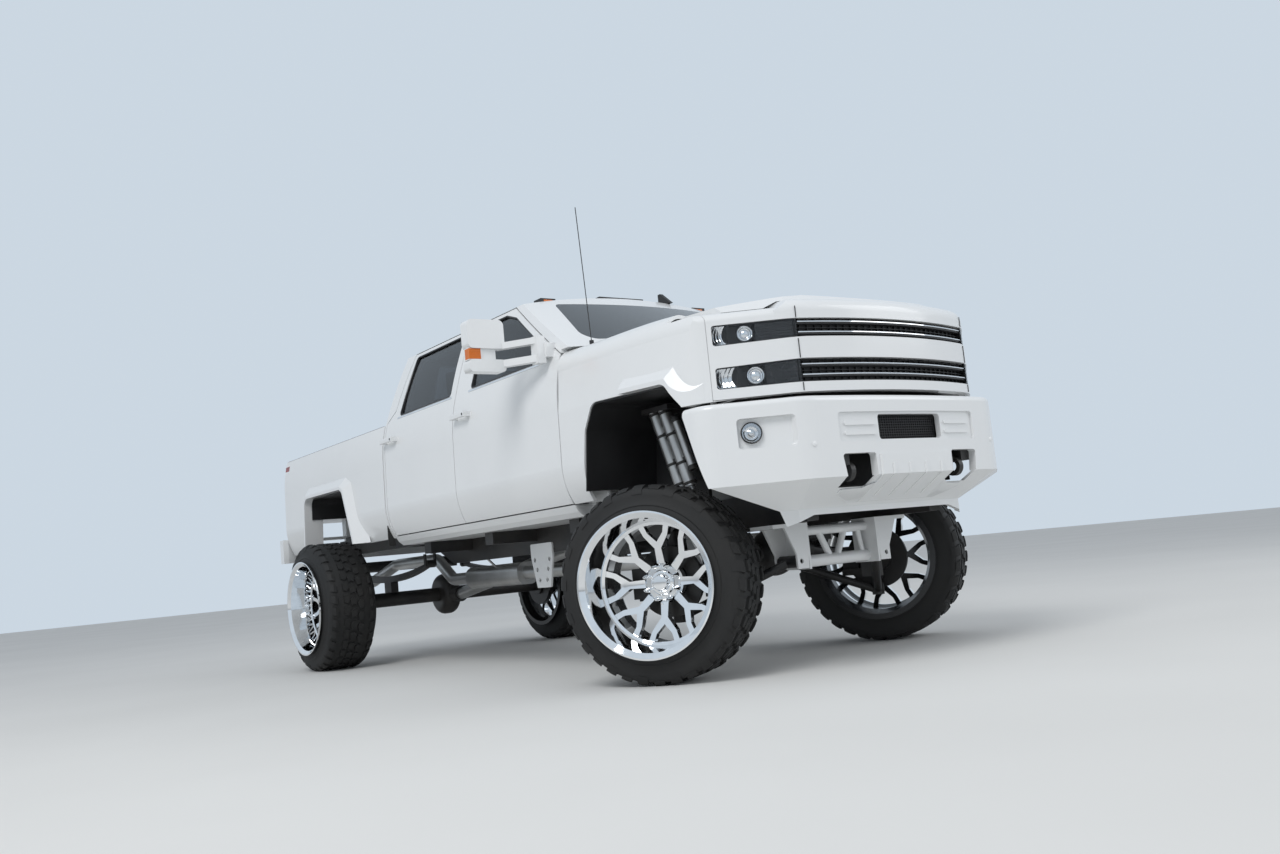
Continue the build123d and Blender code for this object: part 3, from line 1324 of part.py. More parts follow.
wheel_centre = (1085.0, -430.0, 1500.0)
column_end = (1330.0, -430.0, 1430.0)
ring_plane = Plane(
    Vector(wheel_centre[0], -wheel_centre[1], wheel_centre[2]),
    z_dir=Vector(column_end[0] - wheel_centre[0], 0, column_end[2] - wheel_centre[2]),
)
ring = ring_plane * Torus(185, 15)
hub_block = ring_plane * Cylinder(52, 40)
arms = [ring_plane * Rot(0, 0, a) * Pos(95, 0, 0) * Box(170, 30, 14) for a in (0, 120, 240)]
column = rod(wheel_centre, column_end, 26)
save("steering_wheel", ring + hub_block + arms + column - dashboard)
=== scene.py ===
import json
import math

import bmesh
import bpy
from mathutils import Matrix, Vector


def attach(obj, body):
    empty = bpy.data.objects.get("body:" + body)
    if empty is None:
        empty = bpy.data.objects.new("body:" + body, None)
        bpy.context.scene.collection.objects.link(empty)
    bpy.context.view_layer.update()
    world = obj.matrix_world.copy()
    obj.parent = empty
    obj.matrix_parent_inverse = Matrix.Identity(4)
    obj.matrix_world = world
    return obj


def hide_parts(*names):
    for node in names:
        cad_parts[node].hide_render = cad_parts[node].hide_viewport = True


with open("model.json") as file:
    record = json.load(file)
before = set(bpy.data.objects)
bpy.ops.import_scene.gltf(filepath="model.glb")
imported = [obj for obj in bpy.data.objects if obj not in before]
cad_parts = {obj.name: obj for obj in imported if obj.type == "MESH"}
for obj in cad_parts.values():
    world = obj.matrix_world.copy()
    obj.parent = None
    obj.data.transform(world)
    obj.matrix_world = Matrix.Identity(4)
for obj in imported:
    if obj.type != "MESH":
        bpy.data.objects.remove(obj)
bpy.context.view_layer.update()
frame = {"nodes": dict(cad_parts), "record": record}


# Camera, from the photograph's wheels, shut lines and lamps.
def add_camera():
    data = bpy.data.cameras.new("camera")
    data.sensor_fit = "HORIZONTAL"
    data.sensor_width = 36.0
    data.lens = 32.13
    data.clip_end = 200.0
    camera = bpy.data.objects.new("camera", data)
    bpy.context.scene.collection.objects.link(camera)
    right = Vector((0.58011, 0.80872, -0.09724))
    up = Vector((0.14965646, 0.01153222, 0.9886708))
    back = Vector((0.80067514, -0.58808653, -0.11433964))
    turn = Matrix((right, up, back)).transposed().to_4x4()
    camera.matrix_world = Matrix.Translation((6.57012, -4.17722, 0.59158)) @ turn
    bpy.context.scene.camera = camera


add_camera()
scene = bpy.context.scene
scene.view_settings.view_transform = "Standard"


# Materials.
def shader(name):
    material = bpy.data.materials.new(name)
    material.use_nodes = True
    nodes = material.node_tree.nodes
    links = material.node_tree.links
    return material, nodes, links, nodes["Principled BSDF"]


def noise(nodes, links, scale, detail, rough=0.5):
    place = nodes.new("ShaderNodeTexCoord")
    tex = nodes.new("ShaderNodeTexNoise")
    tex.inputs["Scale"].default_value = scale
    tex.inputs["Detail"].default_value = detail
    tex.inputs["Roughness"].default_value = rough
    links.new(place.outputs["Object"], tex.inputs["Vector"])
    return tex


def ramp(nodes, links, source, low, high, low_pos=0.3, high_pos=0.7):
    node = nodes.new("ShaderNodeValToRGB")
    node.color_ramp.elements[0].position = low_pos
    node.color_ramp.elements[0].color = (*low, 1)
    node.color_ramp.elements[1].position = high_pos
    node.color_ramp.elements[1].color = (*high, 1)
    links.new(source, node.inputs["Fac"])
    return node


def bump(nodes, links, height, strength, bsdf):
    node = nodes.new("ShaderNodeBump")
    node.inputs["Strength"].default_value = strength
    node.inputs["Distance"].default_value = 0.001
    links.new(height, node.inputs["Height"])
    links.new(node.outputs["Normal"], bsdf.inputs["Normal"])


def rough_range(nodes, links, source, low, high, bsdf):
    node = nodes.new("ShaderNodeMapRange")
    node.inputs["To Min"].default_value = low
    node.inputs["To Max"].default_value = high
    links.new(source, node.inputs["Value"])
    links.new(node.outputs["Result"], bsdf.inputs["Roughness"])


def paint(name, colour, dust, rough):
    material, nodes, links, bsdf = shader(name)
    tex = noise(nodes, links, 1.6, 5.0)
    tone = ramp(nodes, links, tex.outputs["Fac"], dust, colour, 0.2, 0.55)
    links.new(tone.outputs["Color"], bsdf.inputs["Base Color"])
    rough_range(nodes, links, tex.outputs["Fac"], rough, rough + 0.12, bsdf)
    fine = noise(nodes, links, 260.0, 2.0)
    bump(nodes, links, fine.outputs["Fac"], 0.03, bsdf)
    bsdf.inputs["Coat Weight"].default_value = 0.7
    bsdf.inputs["Coat Roughness"].default_value = 0.14
    return material


def coarse(name, dark, light, rough, grain, strength, metallic=0.0):
    material, nodes, links, bsdf = shader(name)
    tex = noise(nodes, links, 3.0, 6.0, 0.6)
    tone = ramp(nodes, links, tex.outputs["Fac"], dark, light, 0.35, 0.75)
    links.new(tone.outputs["Color"], bsdf.inputs["Base Color"])
    rough_range(nodes, links, tex.outputs["Fac"], rough - 0.08, rough + 0.1, bsdf)
    fine = noise(nodes, links, grain, 3.0)
    bump(nodes, links, fine.outputs["Fac"], strength, bsdf)
    bsdf.inputs["Metallic"].default_value = metallic
    return material


def polished(name, colour, rough):
    material, nodes, links, bsdf = shader(name)
    tex = noise(nodes, links, 9.0, 6.0, 0.65)
    tone = ramp(nodes, links, tex.outputs["Fac"], tuple(0.9 * c for c in colour), colour, 0.3, 0.6)
    links.new(tone.outputs["Color"], bsdf.inputs["Base Color"])
    rough_range(nodes, links, tex.outputs["Fac"], rough, rough + 0.05, bsdf)
    bsdf.inputs["Metallic"].default_value = 1.0
    return material


def clear(name, colour, ior=1.45):
    material, nodes, links, bsdf = shader(name)
    tex = noise(nodes, links, 2.0, 3.0)
    tone = ramp(nodes, links, tex.outputs["Fac"], tuple(0.94 * c for c in colour), colour)
    links.new(tone.outputs["Color"], bsdf.inputs["Base Color"])
    rough_range(nodes, links, tex.outputs["Fac"], 0.0, 0.02, bsdf)
    bsdf.inputs["Transmission Weight"].default_value = 1.0
    bsdf.inputs["IOR"].default_value = ior
    return material


MATERIALS = {
    "white_paint": paint("white_paint", (0.80, 0.81, 0.81), (0.77, 0.78, 0.78), 0.3),
    "dark_glass": clear("dark_glass", (0.16, 0.18, 0.20)),
    "lamp_lens": clear("lamp_lens", (0.96, 0.97, 0.98), 1.3),
    "red_lens": coarse("red_lens", (0.22, 0.006, 0.006), (0.30, 0.01, 0.01), 0.15, 90.0, 0.05),
    "black_plastic": coarse(
        "black_plastic", (0.012, 0.012, 0.013), (0.022, 0.022, 0.023), 0.5, 700.0, 0.25,
    ),
    "black_steel": coarse("black_steel", (0.012, 0.012, 0.013), (0.04, 0.036, 0.032), 0.45, 120.0, 0.3),
    "silver_metal": coarse("silver_metal", (0.42, 0.42, 0.41), (0.6, 0.6, 0.6), 0.35, 150.0, 0.1, 0.9),
    "polished_rim": polished("polished_rim", (0.86, 0.87, 0.88), 0.04),
    "rubber": coarse("rubber", (0.010, 0.010, 0.010), (0.020, 0.019, 0.018), 0.72, 260.0, 0.35),
    "black_gloss": coarse("black_gloss", (0.01, 0.01, 0.011), (0.02, 0.02, 0.021), 0.18, 300.0, 0.02),
    "amber_lens": coarse("amber_lens", (0.62, 0.14, 0.01), (0.75, 0.20, 0.015), 0.12, 200.0, 0.03),
    "seat_fabric": coarse("seat_fabric", (0.03, 0.03, 0.032), (0.05, 0.05, 0.052), 0.85, 500.0, 0.5),
}
slot_of = {part["node"]: part["material_slot"] for part in frame["record"]["subparts"]}
for node, obj in frame["nodes"].items():
    obj.data.materials.clear()
    obj.data.materials.append(MATERIALS[slot_of[node]])


# Shapes in the frame's own metres.
def piece(name, bm, material, body="chassis", crease=35.0, bevel=0.0, subdiv=0):
    bmesh.ops.remove_doubles(bm, verts=bm.verts, dist=1e-6)
    bmesh.ops.recalc_face_normals(bm, faces=bm.faces)
    mesh = bpy.data.meshes.new(name)
    bm.to_mesh(mesh)
    bm.free()
    mesh.polygons.foreach_set("use_smooth", [True] * len(mesh.polygons))
    mesh.set_sharp_from_angle(angle=math.radians(crease))
    mesh.materials.append(MATERIALS[material])
    obj = bpy.data.objects.new(name, mesh)
    scene.collection.objects.link(obj)
    if bevel:
        edge = obj.modifiers.new("edge", "BEVEL")
        edge.width = bevel
        edge.segments = 2
        edge.angle_limit = math.radians(40)
    if subdiv:
        smooth = obj.modifiers.new("smooth", "SUBSURF")
        smooth.levels = subdiv
        smooth.render_levels = subdiv
    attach(obj, body)
    return obj


def loft(bm, loops, ring=False, place=None):
    place = place or Matrix()
    rows = [[bm.verts.new(place @ Vector(point)) for point in loop] for loop in loops]
    count = len(rows[0])
    following = rows[1:] + rows[:1] if ring else rows[1:]
    for low, high in zip(rows, following):
        for i in range(count):
            j = (i + 1) % count
            bm.faces.new((low[i], low[j], high[j], high[i]))
    if not ring:
        bm.faces.new(rows[0][::-1])
        bm.faces.new(rows[-1])


def brick(bm, low, high, place=None):
    corners = [(low[0], low[1]), (high[0], low[1]), (high[0], high[1]), (low[0], high[1])]
    loft(bm, [[(x, y, z) for x, y in corners] for z in (low[2], high[2])], place=place)


def turned(bm, profile, steps, place):
    """Turns a closed outline of (radius, height) round the placed Z axis."""
    loops = []
    for i in range(steps):
        turn = 2 * math.pi * i / steps
        loops.append([(r * math.cos(turn), r * math.sin(turn), z) for r, z in profile])
    loft(bm, loops, ring=True, place=place)


def axis_place(point, direction):
    return Matrix.Translation(point) @ Vector(direction).to_track_quat("Z", "Y").to_matrix().to_4x4()


def rod(bm, start, end, radius, steps):
    start = Vector(start)
    run = Vector(end) - start
    turns = [2 * math.pi * i / steps for i in range(steps)]
    circle = [(radius * math.cos(turn), radius * math.sin(turn)) for turn in turns]
    loft(bm, [[(x, y, z) for x, y in circle] for z in (0, run.length)], place=axis_place(start, run))


# The nose and the bumper in plan: a bow in the middle and a straight wing on each side.
def face_x(out, apex, radius, bend, bend_x, slope):
    """The face's X at a distance out, and its depth along X for one metre behind the face."""
    out = abs(out)
    if out < bend:
        return apex - radius + math.sqrt(radius**2 - out**2), 1 / math.cos(math.asin(out / radius))
    return bend_x - slope * (out - bend), math.sqrt(1 + slope**2)


NOSE_SLOPE = 0.8
BUMPER_SLOPE = 0.767


def nose(out):
    return face_x(out, apex=3.008, radius=2.1636, bend=0.590, bend_x=2.926, slope=NOSE_SLOPE)


def bumper(out):
    return face_x(out, apex=3.0295, radius=5.3386, bend=0.640, bend_x=2.991, slope=BUMPER_SLOPE)


def strip(bm, outs, near, far, low, high, face=nose):
    """A band along a face in plan, between two depths behind it and two heights."""
    loops = []
    for out in outs:
        x, stretch = face(out)
        z_low = low(out) if callable(low) else low
        z_high = high(out) if callable(high) else high
        a = x - near * stretch
        b = x - far * stretch
        loops.append([(a, out, z_low), (a, out, z_high), (b, out, z_high), (b, out, z_low)])
    loft(bm, loops)


def spread(start, end, count):
    return [start + (end - start) * i / (count - 1) for i in range(count)]


SIDES = {"right": -1, "left": 1}

# Wheels. Columns: axle x, origin's distance out, steering angle in degrees
WHEELS = {
    ("front", "right"): (2.0315, 0.712, 30.6),
    ("front", "left"): (2.0315, 0.712, 30.6),
    ("rear", "right"): (-1.8725, 0.819, 0.0),
    ("rear", "left"): (-1.8725, 0.819, 0.0),
}
TYRE_RADIUS = 0.47
LIP = 0.412
RIM_WIDTH = 0.432
TYRE_MIDDLE = LIP - RIM_WIDTH / 2
TREAD_BASE = 0.456
ROW_RADIUS = 0.4695
SHOULDER_RADIUS = 0.44
PITCHES = 34
LUG_HALF_TURN = 3.4
SHOULDER_LEAN = 40
NUT_COUNT = 8
NUT_CIRCLE = 0.0825
HUB_DEPTH = 0.232
VALVE_RADIUS = 0.284
VALVE_DEPTH = 0.178


def wheel_place(end, side):
    """Wheel space: Z along the axle, outward, and heights measured from the wheel's own origin."""
    x, out, turn = WHEELS[end, side]
    centre = Matrix.Translation((x, SIDES[side] * out, TYRE_RADIUS))
    steered = Matrix.Rotation(math.radians(turn), 4, "Z")
    outward = Matrix.Rotation(math.radians(-90 * SIDES[side]), 4, "X")
    return centre @ steered @ outward


def tread_lug(bm, outline, turn, low, high, place):
    """A tread block: an outline of (turn, height) in degrees and metres, tapered to its top."""
    centre_t = sum(t for t, z in outline) / len(outline)
    centre_z = sum(z for t, z in outline) / len(outline)
    loops = []
    for radius, size in ((low, 1.0), (high, 0.88)):
        loop = []
        for t, z in outline:
            angle = math.radians(turn + centre_t + (t - centre_t) * size)
            height = centre_z + (z - centre_z) * size
            loop.append((radius * math.cos(angle), radius * math.sin(angle), height))
        loops.append(loop)
    loft(bm, loops, place=place)


def shoulder_lug(bm, profile, start, end, lean, place):
    """A lug that wraps over the shoulder: an outline of (radius, height) swept between two angles."""
    loops = []
    for turn, scale in ((start, 0.96), ((start + end) / 2, 1.0), (end, 0.96)):
        loop = []
        for radius, z in profile:
            angle = math.radians(turn + lean * (z - TYRE_MIDDLE))
            r = SHOULDER_RADIUS + (radius - SHOULDER_RADIUS) * scale
            loop.append((r * math.cos(angle), r * math.sin(angle), z))
        loops.append(loop)
    loft(bm, loops, place=place)


# Tyre outlines in millimetres. Columns: radius, depth behind the rim's lip
CARCASS = [
    (323, 27), (349, 28), (353, 30), (366, 34), (372, 32), (378, 36), (392, 43), (415, 45), (436, 48),
    (448, 56), (457, 78), (458.5, 216), (457, 354), (448, 376), (436, 384), (415, 387), (392, 389),
    (366, 396), (323, 396), (306, 366), (306, 172), (319, 62),
]
LONG_SIDE_LUG = [
    (452, 96), (470, 96), (470, 77), (460, 61), (446, 49), (424, 43.5), (424, 47), (440, 54), (452, 78),
]
SHORT_SIDE_LUG = [(452, 96), (469, 96), (469, 77), (459, 62), (449, 52), (446, 55), (452, 78)]
# Tread blocks. Columns: turn in degrees, height along the axle in metres
ROW_LUG = [(-3.6, 0.122), (3.0, 0.122), (4.2, 0.150), (1.5, 0.170), (-4.4, 0.158)]
MIDDLE_LUG = [(-3.9, 0.176), (2.6, 0.168), (4.3, 0.196), (2.2, 0.226), (-4.2, 0.218), (-2.4, 0.198)]
# Turned fittings. Columns: radius, height
NUT = [
    (0.0, -0.004), (0.0125, -0.004), (0.0125, 0.012), (0.0095, 0.017), (0.0085, 0.040), (0.002, 0.058),
    (0.0, 0.058),
]
HUB_CAP = [
    (0.0, -0.006), (0.061, -0.006), (0.061, 0.004), (0.056, 0.010), (0.044, 0.012), (0.040, 0.030),
    (0.034, 0.038), (0.0, 0.040),
]
VALVE = [(0.0, 0.0), (0.004, 0.0), (0.004, 0.018), (0.0055, 0.019), (0.0055, 0.030), (0.0, 0.032)]


def add_tread(end, side, place):
    bm = bmesh.new()
    turned(bm, [(r / 1000, LIP - depth / 1000) for r, depth in CARCASS], 120, place)
    step = 360 / PITCHES
    far_row = [(-t, 2 * TYRE_MIDDLE - z) for t, z in ROW_LUG]
    for i in range(PITCHES):
        turn = i * step
        tread_lug(bm, ROW_LUG, turn, TREAD_BASE, ROW_RADIUS, place)
        tread_lug(bm, far_row, turn + step * 0.5, TREAD_BASE, ROW_RADIUS, place)
        tread_lug(bm, MIDDLE_LUG, turn + step * 0.25, TREAD_BASE, TYRE_RADIUS, place)
        for flip in (0, 1):
            lug = LONG_SIDE_LUG if i % 2 == flip else SHORT_SIDE_LUG
            heights = [LIP - (RIM_WIDTH - d / 1000 if flip else d / 1000) for r, d in lug]
            outline = [(r / 1000, z) for (r, d), z in zip(lug, heights)]
            at = turn + step * 0.5 * flip
            lean = -SHOULDER_LEAN if flip else SHOULDER_LEAN
            shoulder_lug(bm, outline, at - LUG_HALF_TURN, at + LUG_HALF_TURN, lean, place)
    tyre = piece(f"tread_{end}_{side}", bm, "rubber", f"wheel_{end}_{side}", crease=30.0)
    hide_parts(f"tyre_{end}_{side}")


def add_hub_fittings(end, side, place):
    bm = bmesh.new()
    hub_z = LIP - HUB_DEPTH
    for i in range(NUT_COUNT):
        turn = 2 * math.pi * (i + 0.5) / NUT_COUNT
        at = (NUT_CIRCLE * math.cos(turn), NUT_CIRCLE * math.sin(turn), hub_z)
        turned(bm, NUT, 12, place @ Matrix.Translation(at))
    turned(bm, HUB_CAP, 40, place @ Matrix.Translation((0, 0, hub_z)))
    turned(bm, VALVE, 10, place @ Matrix.Translation((VALVE_RADIUS, 0.0, LIP - VALVE_DEPTH)))
    piece(f"wheel_nuts_{end}_{side}", bm, "polished_rim", f"wheel_{end}_{side}", bevel=0.0008)


def add_wheels():
    for end, side in WHEELS:
        place = wheel_place(end, side)
        add_tread(end, side, place)
        add_hub_fittings(end, side, place)


# The rims' material: polished outside, black on the inner barrel and behind the spokes.
INNER_HEIGHT = 0.118
FACING_INWARD = -0.3


def rim_material(end, side):
    material, nodes, links, bsdf = shader(f"rim_{end}_{side}")
    place = wheel_place(end, side)
    axis = place.to_3x3() @ Vector((0, 0, 1))
    where = nodes.new("ShaderNodeTexCoord")
    results = []
    limits = {"Object": axis.dot(place.translation) + INNER_HEIGHT, "Normal": FACING_INWARD}
    for source, limit in limits.items():
        dot = nodes.new("ShaderNodeVectorMath")
        dot.operation = "DOT_PRODUCT"
        dot.inputs[1].default_value = axis
        links.new(where.outputs[source], dot.inputs[0])
        less = nodes.new("ShaderNodeMath")
        less.operation = "LESS_THAN"
        less.inputs[1].default_value = limit
        links.new(dot.outputs["Value"], less.inputs[0])
        results.append(less.outputs[0])
    inside = nodes.new("ShaderNodeMath")
    inside.operation = "MAXIMUM"
    for socket, result in zip(inside.inputs, results):
        links.new(result, socket)
    tex = noise(nodes, links, 9.0, 6.0, 0.65)
    bright = ramp(nodes, links, tex.outputs["Fac"], (0.80, 0.81, 0.82), (0.88, 0.89, 0.90), 0.3, 0.6)
    mix = nodes.new("ShaderNodeMix")
    mix.data_type = "RGBA"
    links.new(inside.outputs[0], mix.inputs["Factor"])
    links.new(bright.outputs["Color"], mix.inputs["A"])
    mix.inputs["B"].default_value = (0.012, 0.012, 0.013, 1)
    links.new(mix.outputs["Result"], bsdf.inputs["Base Color"])
    for socket, outside, within in (("Metallic", 1.0, 0.0), ("Roughness", 0.05, 0.25)):
        span = nodes.new("ShaderNodeMapRange")
        span.inputs["To Min"].default_value = outside
        span.inputs["To Max"].default_value = within
        links.new(inside.outputs[0], span.inputs["Value"])
        links.new(span.outputs["Result"], bsdf.inputs[socket])
    return material


for end, side in WHEELS:
    rim = frame["nodes"][f"rim_{end}_{side}"]
    rim.data.materials.clear()
    rim.data.materials.append(rim_material(end, side))


# Headlamps: two on each side, each with a clear outer box, a ringed projector and a black inner part.
# Columns: lower edge's heights at the inner and outer end, the upper edge's, the projector's distance
# out and its height
HEADLAMPS = (
    ((1.514, 1.506), (1.599, 1.601), 0.765, 1.553),
    ((1.307, 1.308), (1.415, 1.405), 0.742, 1.358),
)
LAMP_INNER_OUT = 0.571
LAMP_WIDTH = 0.31
LAMP_OUTS = spread(0.574, 0.878, 16)
FLUTES_OUTER = 0.873
FLUTES = 5
FOG_OUT = 0.836
FOG_Z = 1.093


def on_wing(out, z, side, depth, face=nose, slope=NOSE_SLOPE):
    """A point behind a wing's face, along the wing's own normal."""
    angle = math.atan(slope)
    x = face(out)[0]
    return Vector((x - depth * math.cos(angle), SIDES[side] * (out - depth * math.sin(angle)), z))


def wing_axis(side, slope=NOSE_SLOPE):
    angle = math.atan(slope)
    return Vector((math.cos(angle), SIDES[side] * math.sin(angle), 0))


def lamp_edge(ends, inset):
    """The height of a lamp opening's edge at a distance out, moved by inset."""
    return lambda out: ends[0] + (ends[1] - ends[0]) * (abs(out) - LAMP_INNER_OUT) / LAMP_WIDTH + inset


def add_flutes(bm, low, high, ring_out, sign):
    """The bright outer box: upright flutes, each a shallow bowl from top to bottom."""
    start = ring_out + 0.056
    width = FLUTES_OUTER - start
    foot = lamp_edge(low, 0.005)
    head = lamp_edge(high, -0.005)
    for i in range(FLUTES):
        a, b, c = (start + width * (i + part) / FLUTES for part in (0, 0.5, 1))
        loops = []
        for share in spread(0, 1, 7):
            bowl = 0.016 + 0.022 * (1 - (2 * share - 1) ** 2)
            loop = []
            for out, depth in ((a, bowl), (b, bowl - 0.005), (c, bowl), (c, 0.042), (a, 0.042)):
                x, stretch = nose(out)
                loop.append((x - depth * stretch, sign * out, foot(out) * (1 - share) + head(out) * share))
            loops.append(loop)
        loft(bm, loops)


def add_bucket(bm, low, high, ring_out, sign):
    """A lamp's black box: back, floor, roof, two ends and the divider beside the projector."""
    outs = [sign * out for out in LAMP_OUTS]
    strip(bm, outs, 0.044, 0.048, lamp_edge(low, 0.0015), lamp_edge(high, -0.0015))
    strip(bm, outs, 0.009, 0.047, lamp_edge(low, 0.0012), lamp_edge(low, 0.004))
    strip(bm, outs, 0.009, 0.047, lamp_edge(high, -0.004), lamp_edge(high, -0.0012))
    # Columns: inner distance out, width, front depth, back depth
    walls = (
        (0.5745, 0.003, 0.009, 0.047),
        (0.8745, 0.003, 0.009, 0.047),
        (ring_out + 0.046, 0.009, 0.012, 0.046),
    )
    for out, width, near, far in walls:
        ends = [sign * out, sign * (out + width)]
        strip(bm, ends, near, far, lamp_edge(low, 0.002), lamp_edge(high, -0.002))


def add_projector(rings, chrome, low, high, out, z, side):
    size = min((high[0] - low[0]) / 2, 0.046) - 0.004
    place = axis_place(on_wing(out, z, side, 0.043), wing_axis(side))
    ring = [(size - 0.006, 0.0), (size, 0.0), (size, 0.026), (size - 0.004, 0.031), (size - 0.009, 0.024)]
    turned(rings, ring, 40, place)
    rim = size - 0.0065
    bowl = [(0.001, 0.001), (rim, 0.001), (rim, 0.018), (size - 0.011, 0.010), (0.001, 0.003)]
    turned(chrome, bowl, 40, place)
    ball = size - 0.016
    dome = [(0.0005, 0.004)]
    for turn in spread(0, math.pi / 2, 9):
        dome.append((max(0.0005, ball * math.cos(turn)), 0.010 + 0.6 * ball * math.sin(turn)))
    turned(rings, dome, 32, place)


def add_blank(bm, low, high, ring_out, ring_z, sign):
    """The black inner part, with fine ribs."""
    outs = [sign * out for out in spread(0.580, ring_out - 0.050, 9)]
    strip(bm, outs, 0.020, 0.040, lamp_edge(low, 0.006), lamp_edge(high, -0.006))
    height = high[0] - low[0]
    outs = [sign * out for out in spread(0.582, ring_out - 0.054, 9)]
    for k in range(1, 6):
        z = ring_z - height / 2 + height * k / 6
        strip(bm, outs, 0.017, 0.022, z - 0.0015, z + 0.0015)


# Fog lamp outlines. Columns: radius, height
FOG_BEZEL = [(0.044, -0.030), (0.0475, -0.050), (0.0475, 0.002), (0.046, 0.0035), (0.0425, 0.001)]
FOG_BOWL = [
    (0.002, -0.034), (0.030, -0.026), (0.0425, -0.006), (0.0435, -0.006), (0.0435, -0.045),
    (0.002, -0.045),
]
FOG_SHIELD = [(0.001, -0.033), (0.010, -0.033), (0.012, -0.014), (0.009, -0.012), (0.001, -0.012)]
FOG_LENS = [
    (0.001, 0.0), (0.03, -0.0015), (0.0425, -0.004), (0.0425, -0.006), (0.03, -0.0035), (0.001, -0.002),
]


def add_fog_lamp(side):
    centre = on_wing(FOG_OUT, FOG_Z, side, 0.012, bumper, BUMPER_SLOPE)
    place = axis_place(centre, wing_axis(side, BUMPER_SLOPE))
    lens = bmesh.new()
    bezel = bmesh.new()
    bowl = bmesh.new()
    turned(bezel, FOG_BEZEL, 48, place)
    turned(bowl, FOG_BOWL, 48, place)
    turned(bowl, FOG_SHIELD, 24, place)
    turned(lens, FOG_LENS, 48, place)
    cover = piece(f"fog_lamp_lens_{side}", lens, "lamp_lens")
    piece(f"fog_lamp_bezel_{side}", bezel, "black_plastic")
    piece(f"fog_lamp_reflector_{side}", bowl, "polished_rim")
    return cover


def add_headlamps():
    for side, sign in SIDES.items():
        covers = bmesh.new()
        buckets = bmesh.new()
        chrome = bmesh.new()
        rings = bmesh.new()
        blanks = bmesh.new()
        outs = [sign * out for out in LAMP_OUTS]
        for low, high, ring_out, ring_z in HEADLAMPS:
            strip(covers, outs, 0.005, 0.008, lamp_edge(low, 0.002), lamp_edge(high, -0.002))
            add_bucket(buckets, low, high, ring_out, sign)
            add_flutes(chrome, low, high, ring_out, sign)
            add_projector(rings, chrome, low, high, ring_out, ring_z, side)
            add_blank(blanks, low, high, ring_out, ring_z, sign)
        cover = piece(f"headlamp_covers_{side}", covers, "lamp_lens")
        piece(f"headlamp_buckets_{side}", buckets, "black_plastic")
        piece(f"headlamp_reflectors_{side}", chrome, "polished_rim", crease=20.0)
        piece(f"headlamp_rings_{side}", rings, "polished_rim")
        piece(f"headlamp_blanks_{side}", blanks, "black_gloss", bevel=0.001)
        lens = add_fog_lamp(side)
        if side == "right":
            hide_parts("front_lamps")
            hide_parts("front_lamps")


# Grille: bright lines along the black bars, fine slats behind them, and seams in the white bars.
# Columns: the black bar's middle height, the opening's heights
GRILLE_OPENINGS = ((1.5565, 1.514, 1.599), (1.361, 1.307, 1.415))
SEAM_HEIGHTS = ((1.417, 1.505), (1.268, 1.305), (1.602, 1.655))
MESH_OUTS = spread(-0.214, 0.214, 9)
MESH_HEIGHTS = (1.029, 1.143)
SENSOR = [(0.0005, -0.004), (0.0115, -0.004), (0.0115, 0.0004), (0.010, 0.0012), (0.0005, 0.0014)]
SENSOR_OUT = 0.613
SENSOR_Z = 1.016


def add_grille():
    outs = spread(-0.566, 0.566, 41)
    bright = bmesh.new()
    slats = bmesh.new()
    seams = bmesh.new()
    for middle, low, high in GRILLE_OPENINGS:
        for offset in (-0.024, 0.024):
            strip(bright, outs, 0.0085, 0.0125, middle + offset + 0.001, middle + offset + 0.0065)
        count = 7 if high - low > 0.1 else 5
        for z in spread(low + 0.008, high - 0.008, count):
            strip(slats, outs, 0.026, 0.040, z - 0.0012, z + 0.0012)
        for out in spread(-0.54, 0.54, 28):
            strip(slats, [out - 0.0012, out + 0.0012], 0.030, 0.040, low + 0.001, high - 0.001)
    for sign in SIDES.values():
        for low, high in SEAM_HEIGHTS:
            strip(seams, [sign * 0.5742, sign * 0.5764], -0.0003, 0.003, low, high)
    piece("grille_bright_lines", bright, "polished_rim", bevel=0.0008)
    piece("grille_slats", slats, "black_plastic")
    piece("nose_seams", seams, "black_plastic")


def add_bumper_trim():
    """The dark mesh behind the centre opening, and two parking sensors."""
    mesh = bmesh.new()
    for z in spread(1.032, 1.140, 10):
        strip(mesh, MESH_OUTS, 0.046, 0.052, z - 0.0015, z + 0.0015, bumper)
    for out in spread(-0.205, 0.205, 28):
        strip(mesh, [out - 0.0015, out + 0.0015], 0.046, 0.052, *MESH_HEIGHTS, bumper)
    strip(mesh, MESH_OUTS, 0.053, 0.056, *MESH_HEIGHTS, bumper)
    piece("bumper_mesh", mesh, "black_plastic")
    dots = bmesh.new()
    for sign in SIDES.values():
        centre = (bumper(SENSOR_OUT)[0], sign * SENSOR_OUT, SENSOR_Z)
        turned(dots, SENSOR, 24, axis_place(centre, (1, sign * 0.08, 0)))
    piece("parking_sensors", dots, "white_paint")


add_wheels()
add_headlamps()
add_grille()
add_bumper_trim()


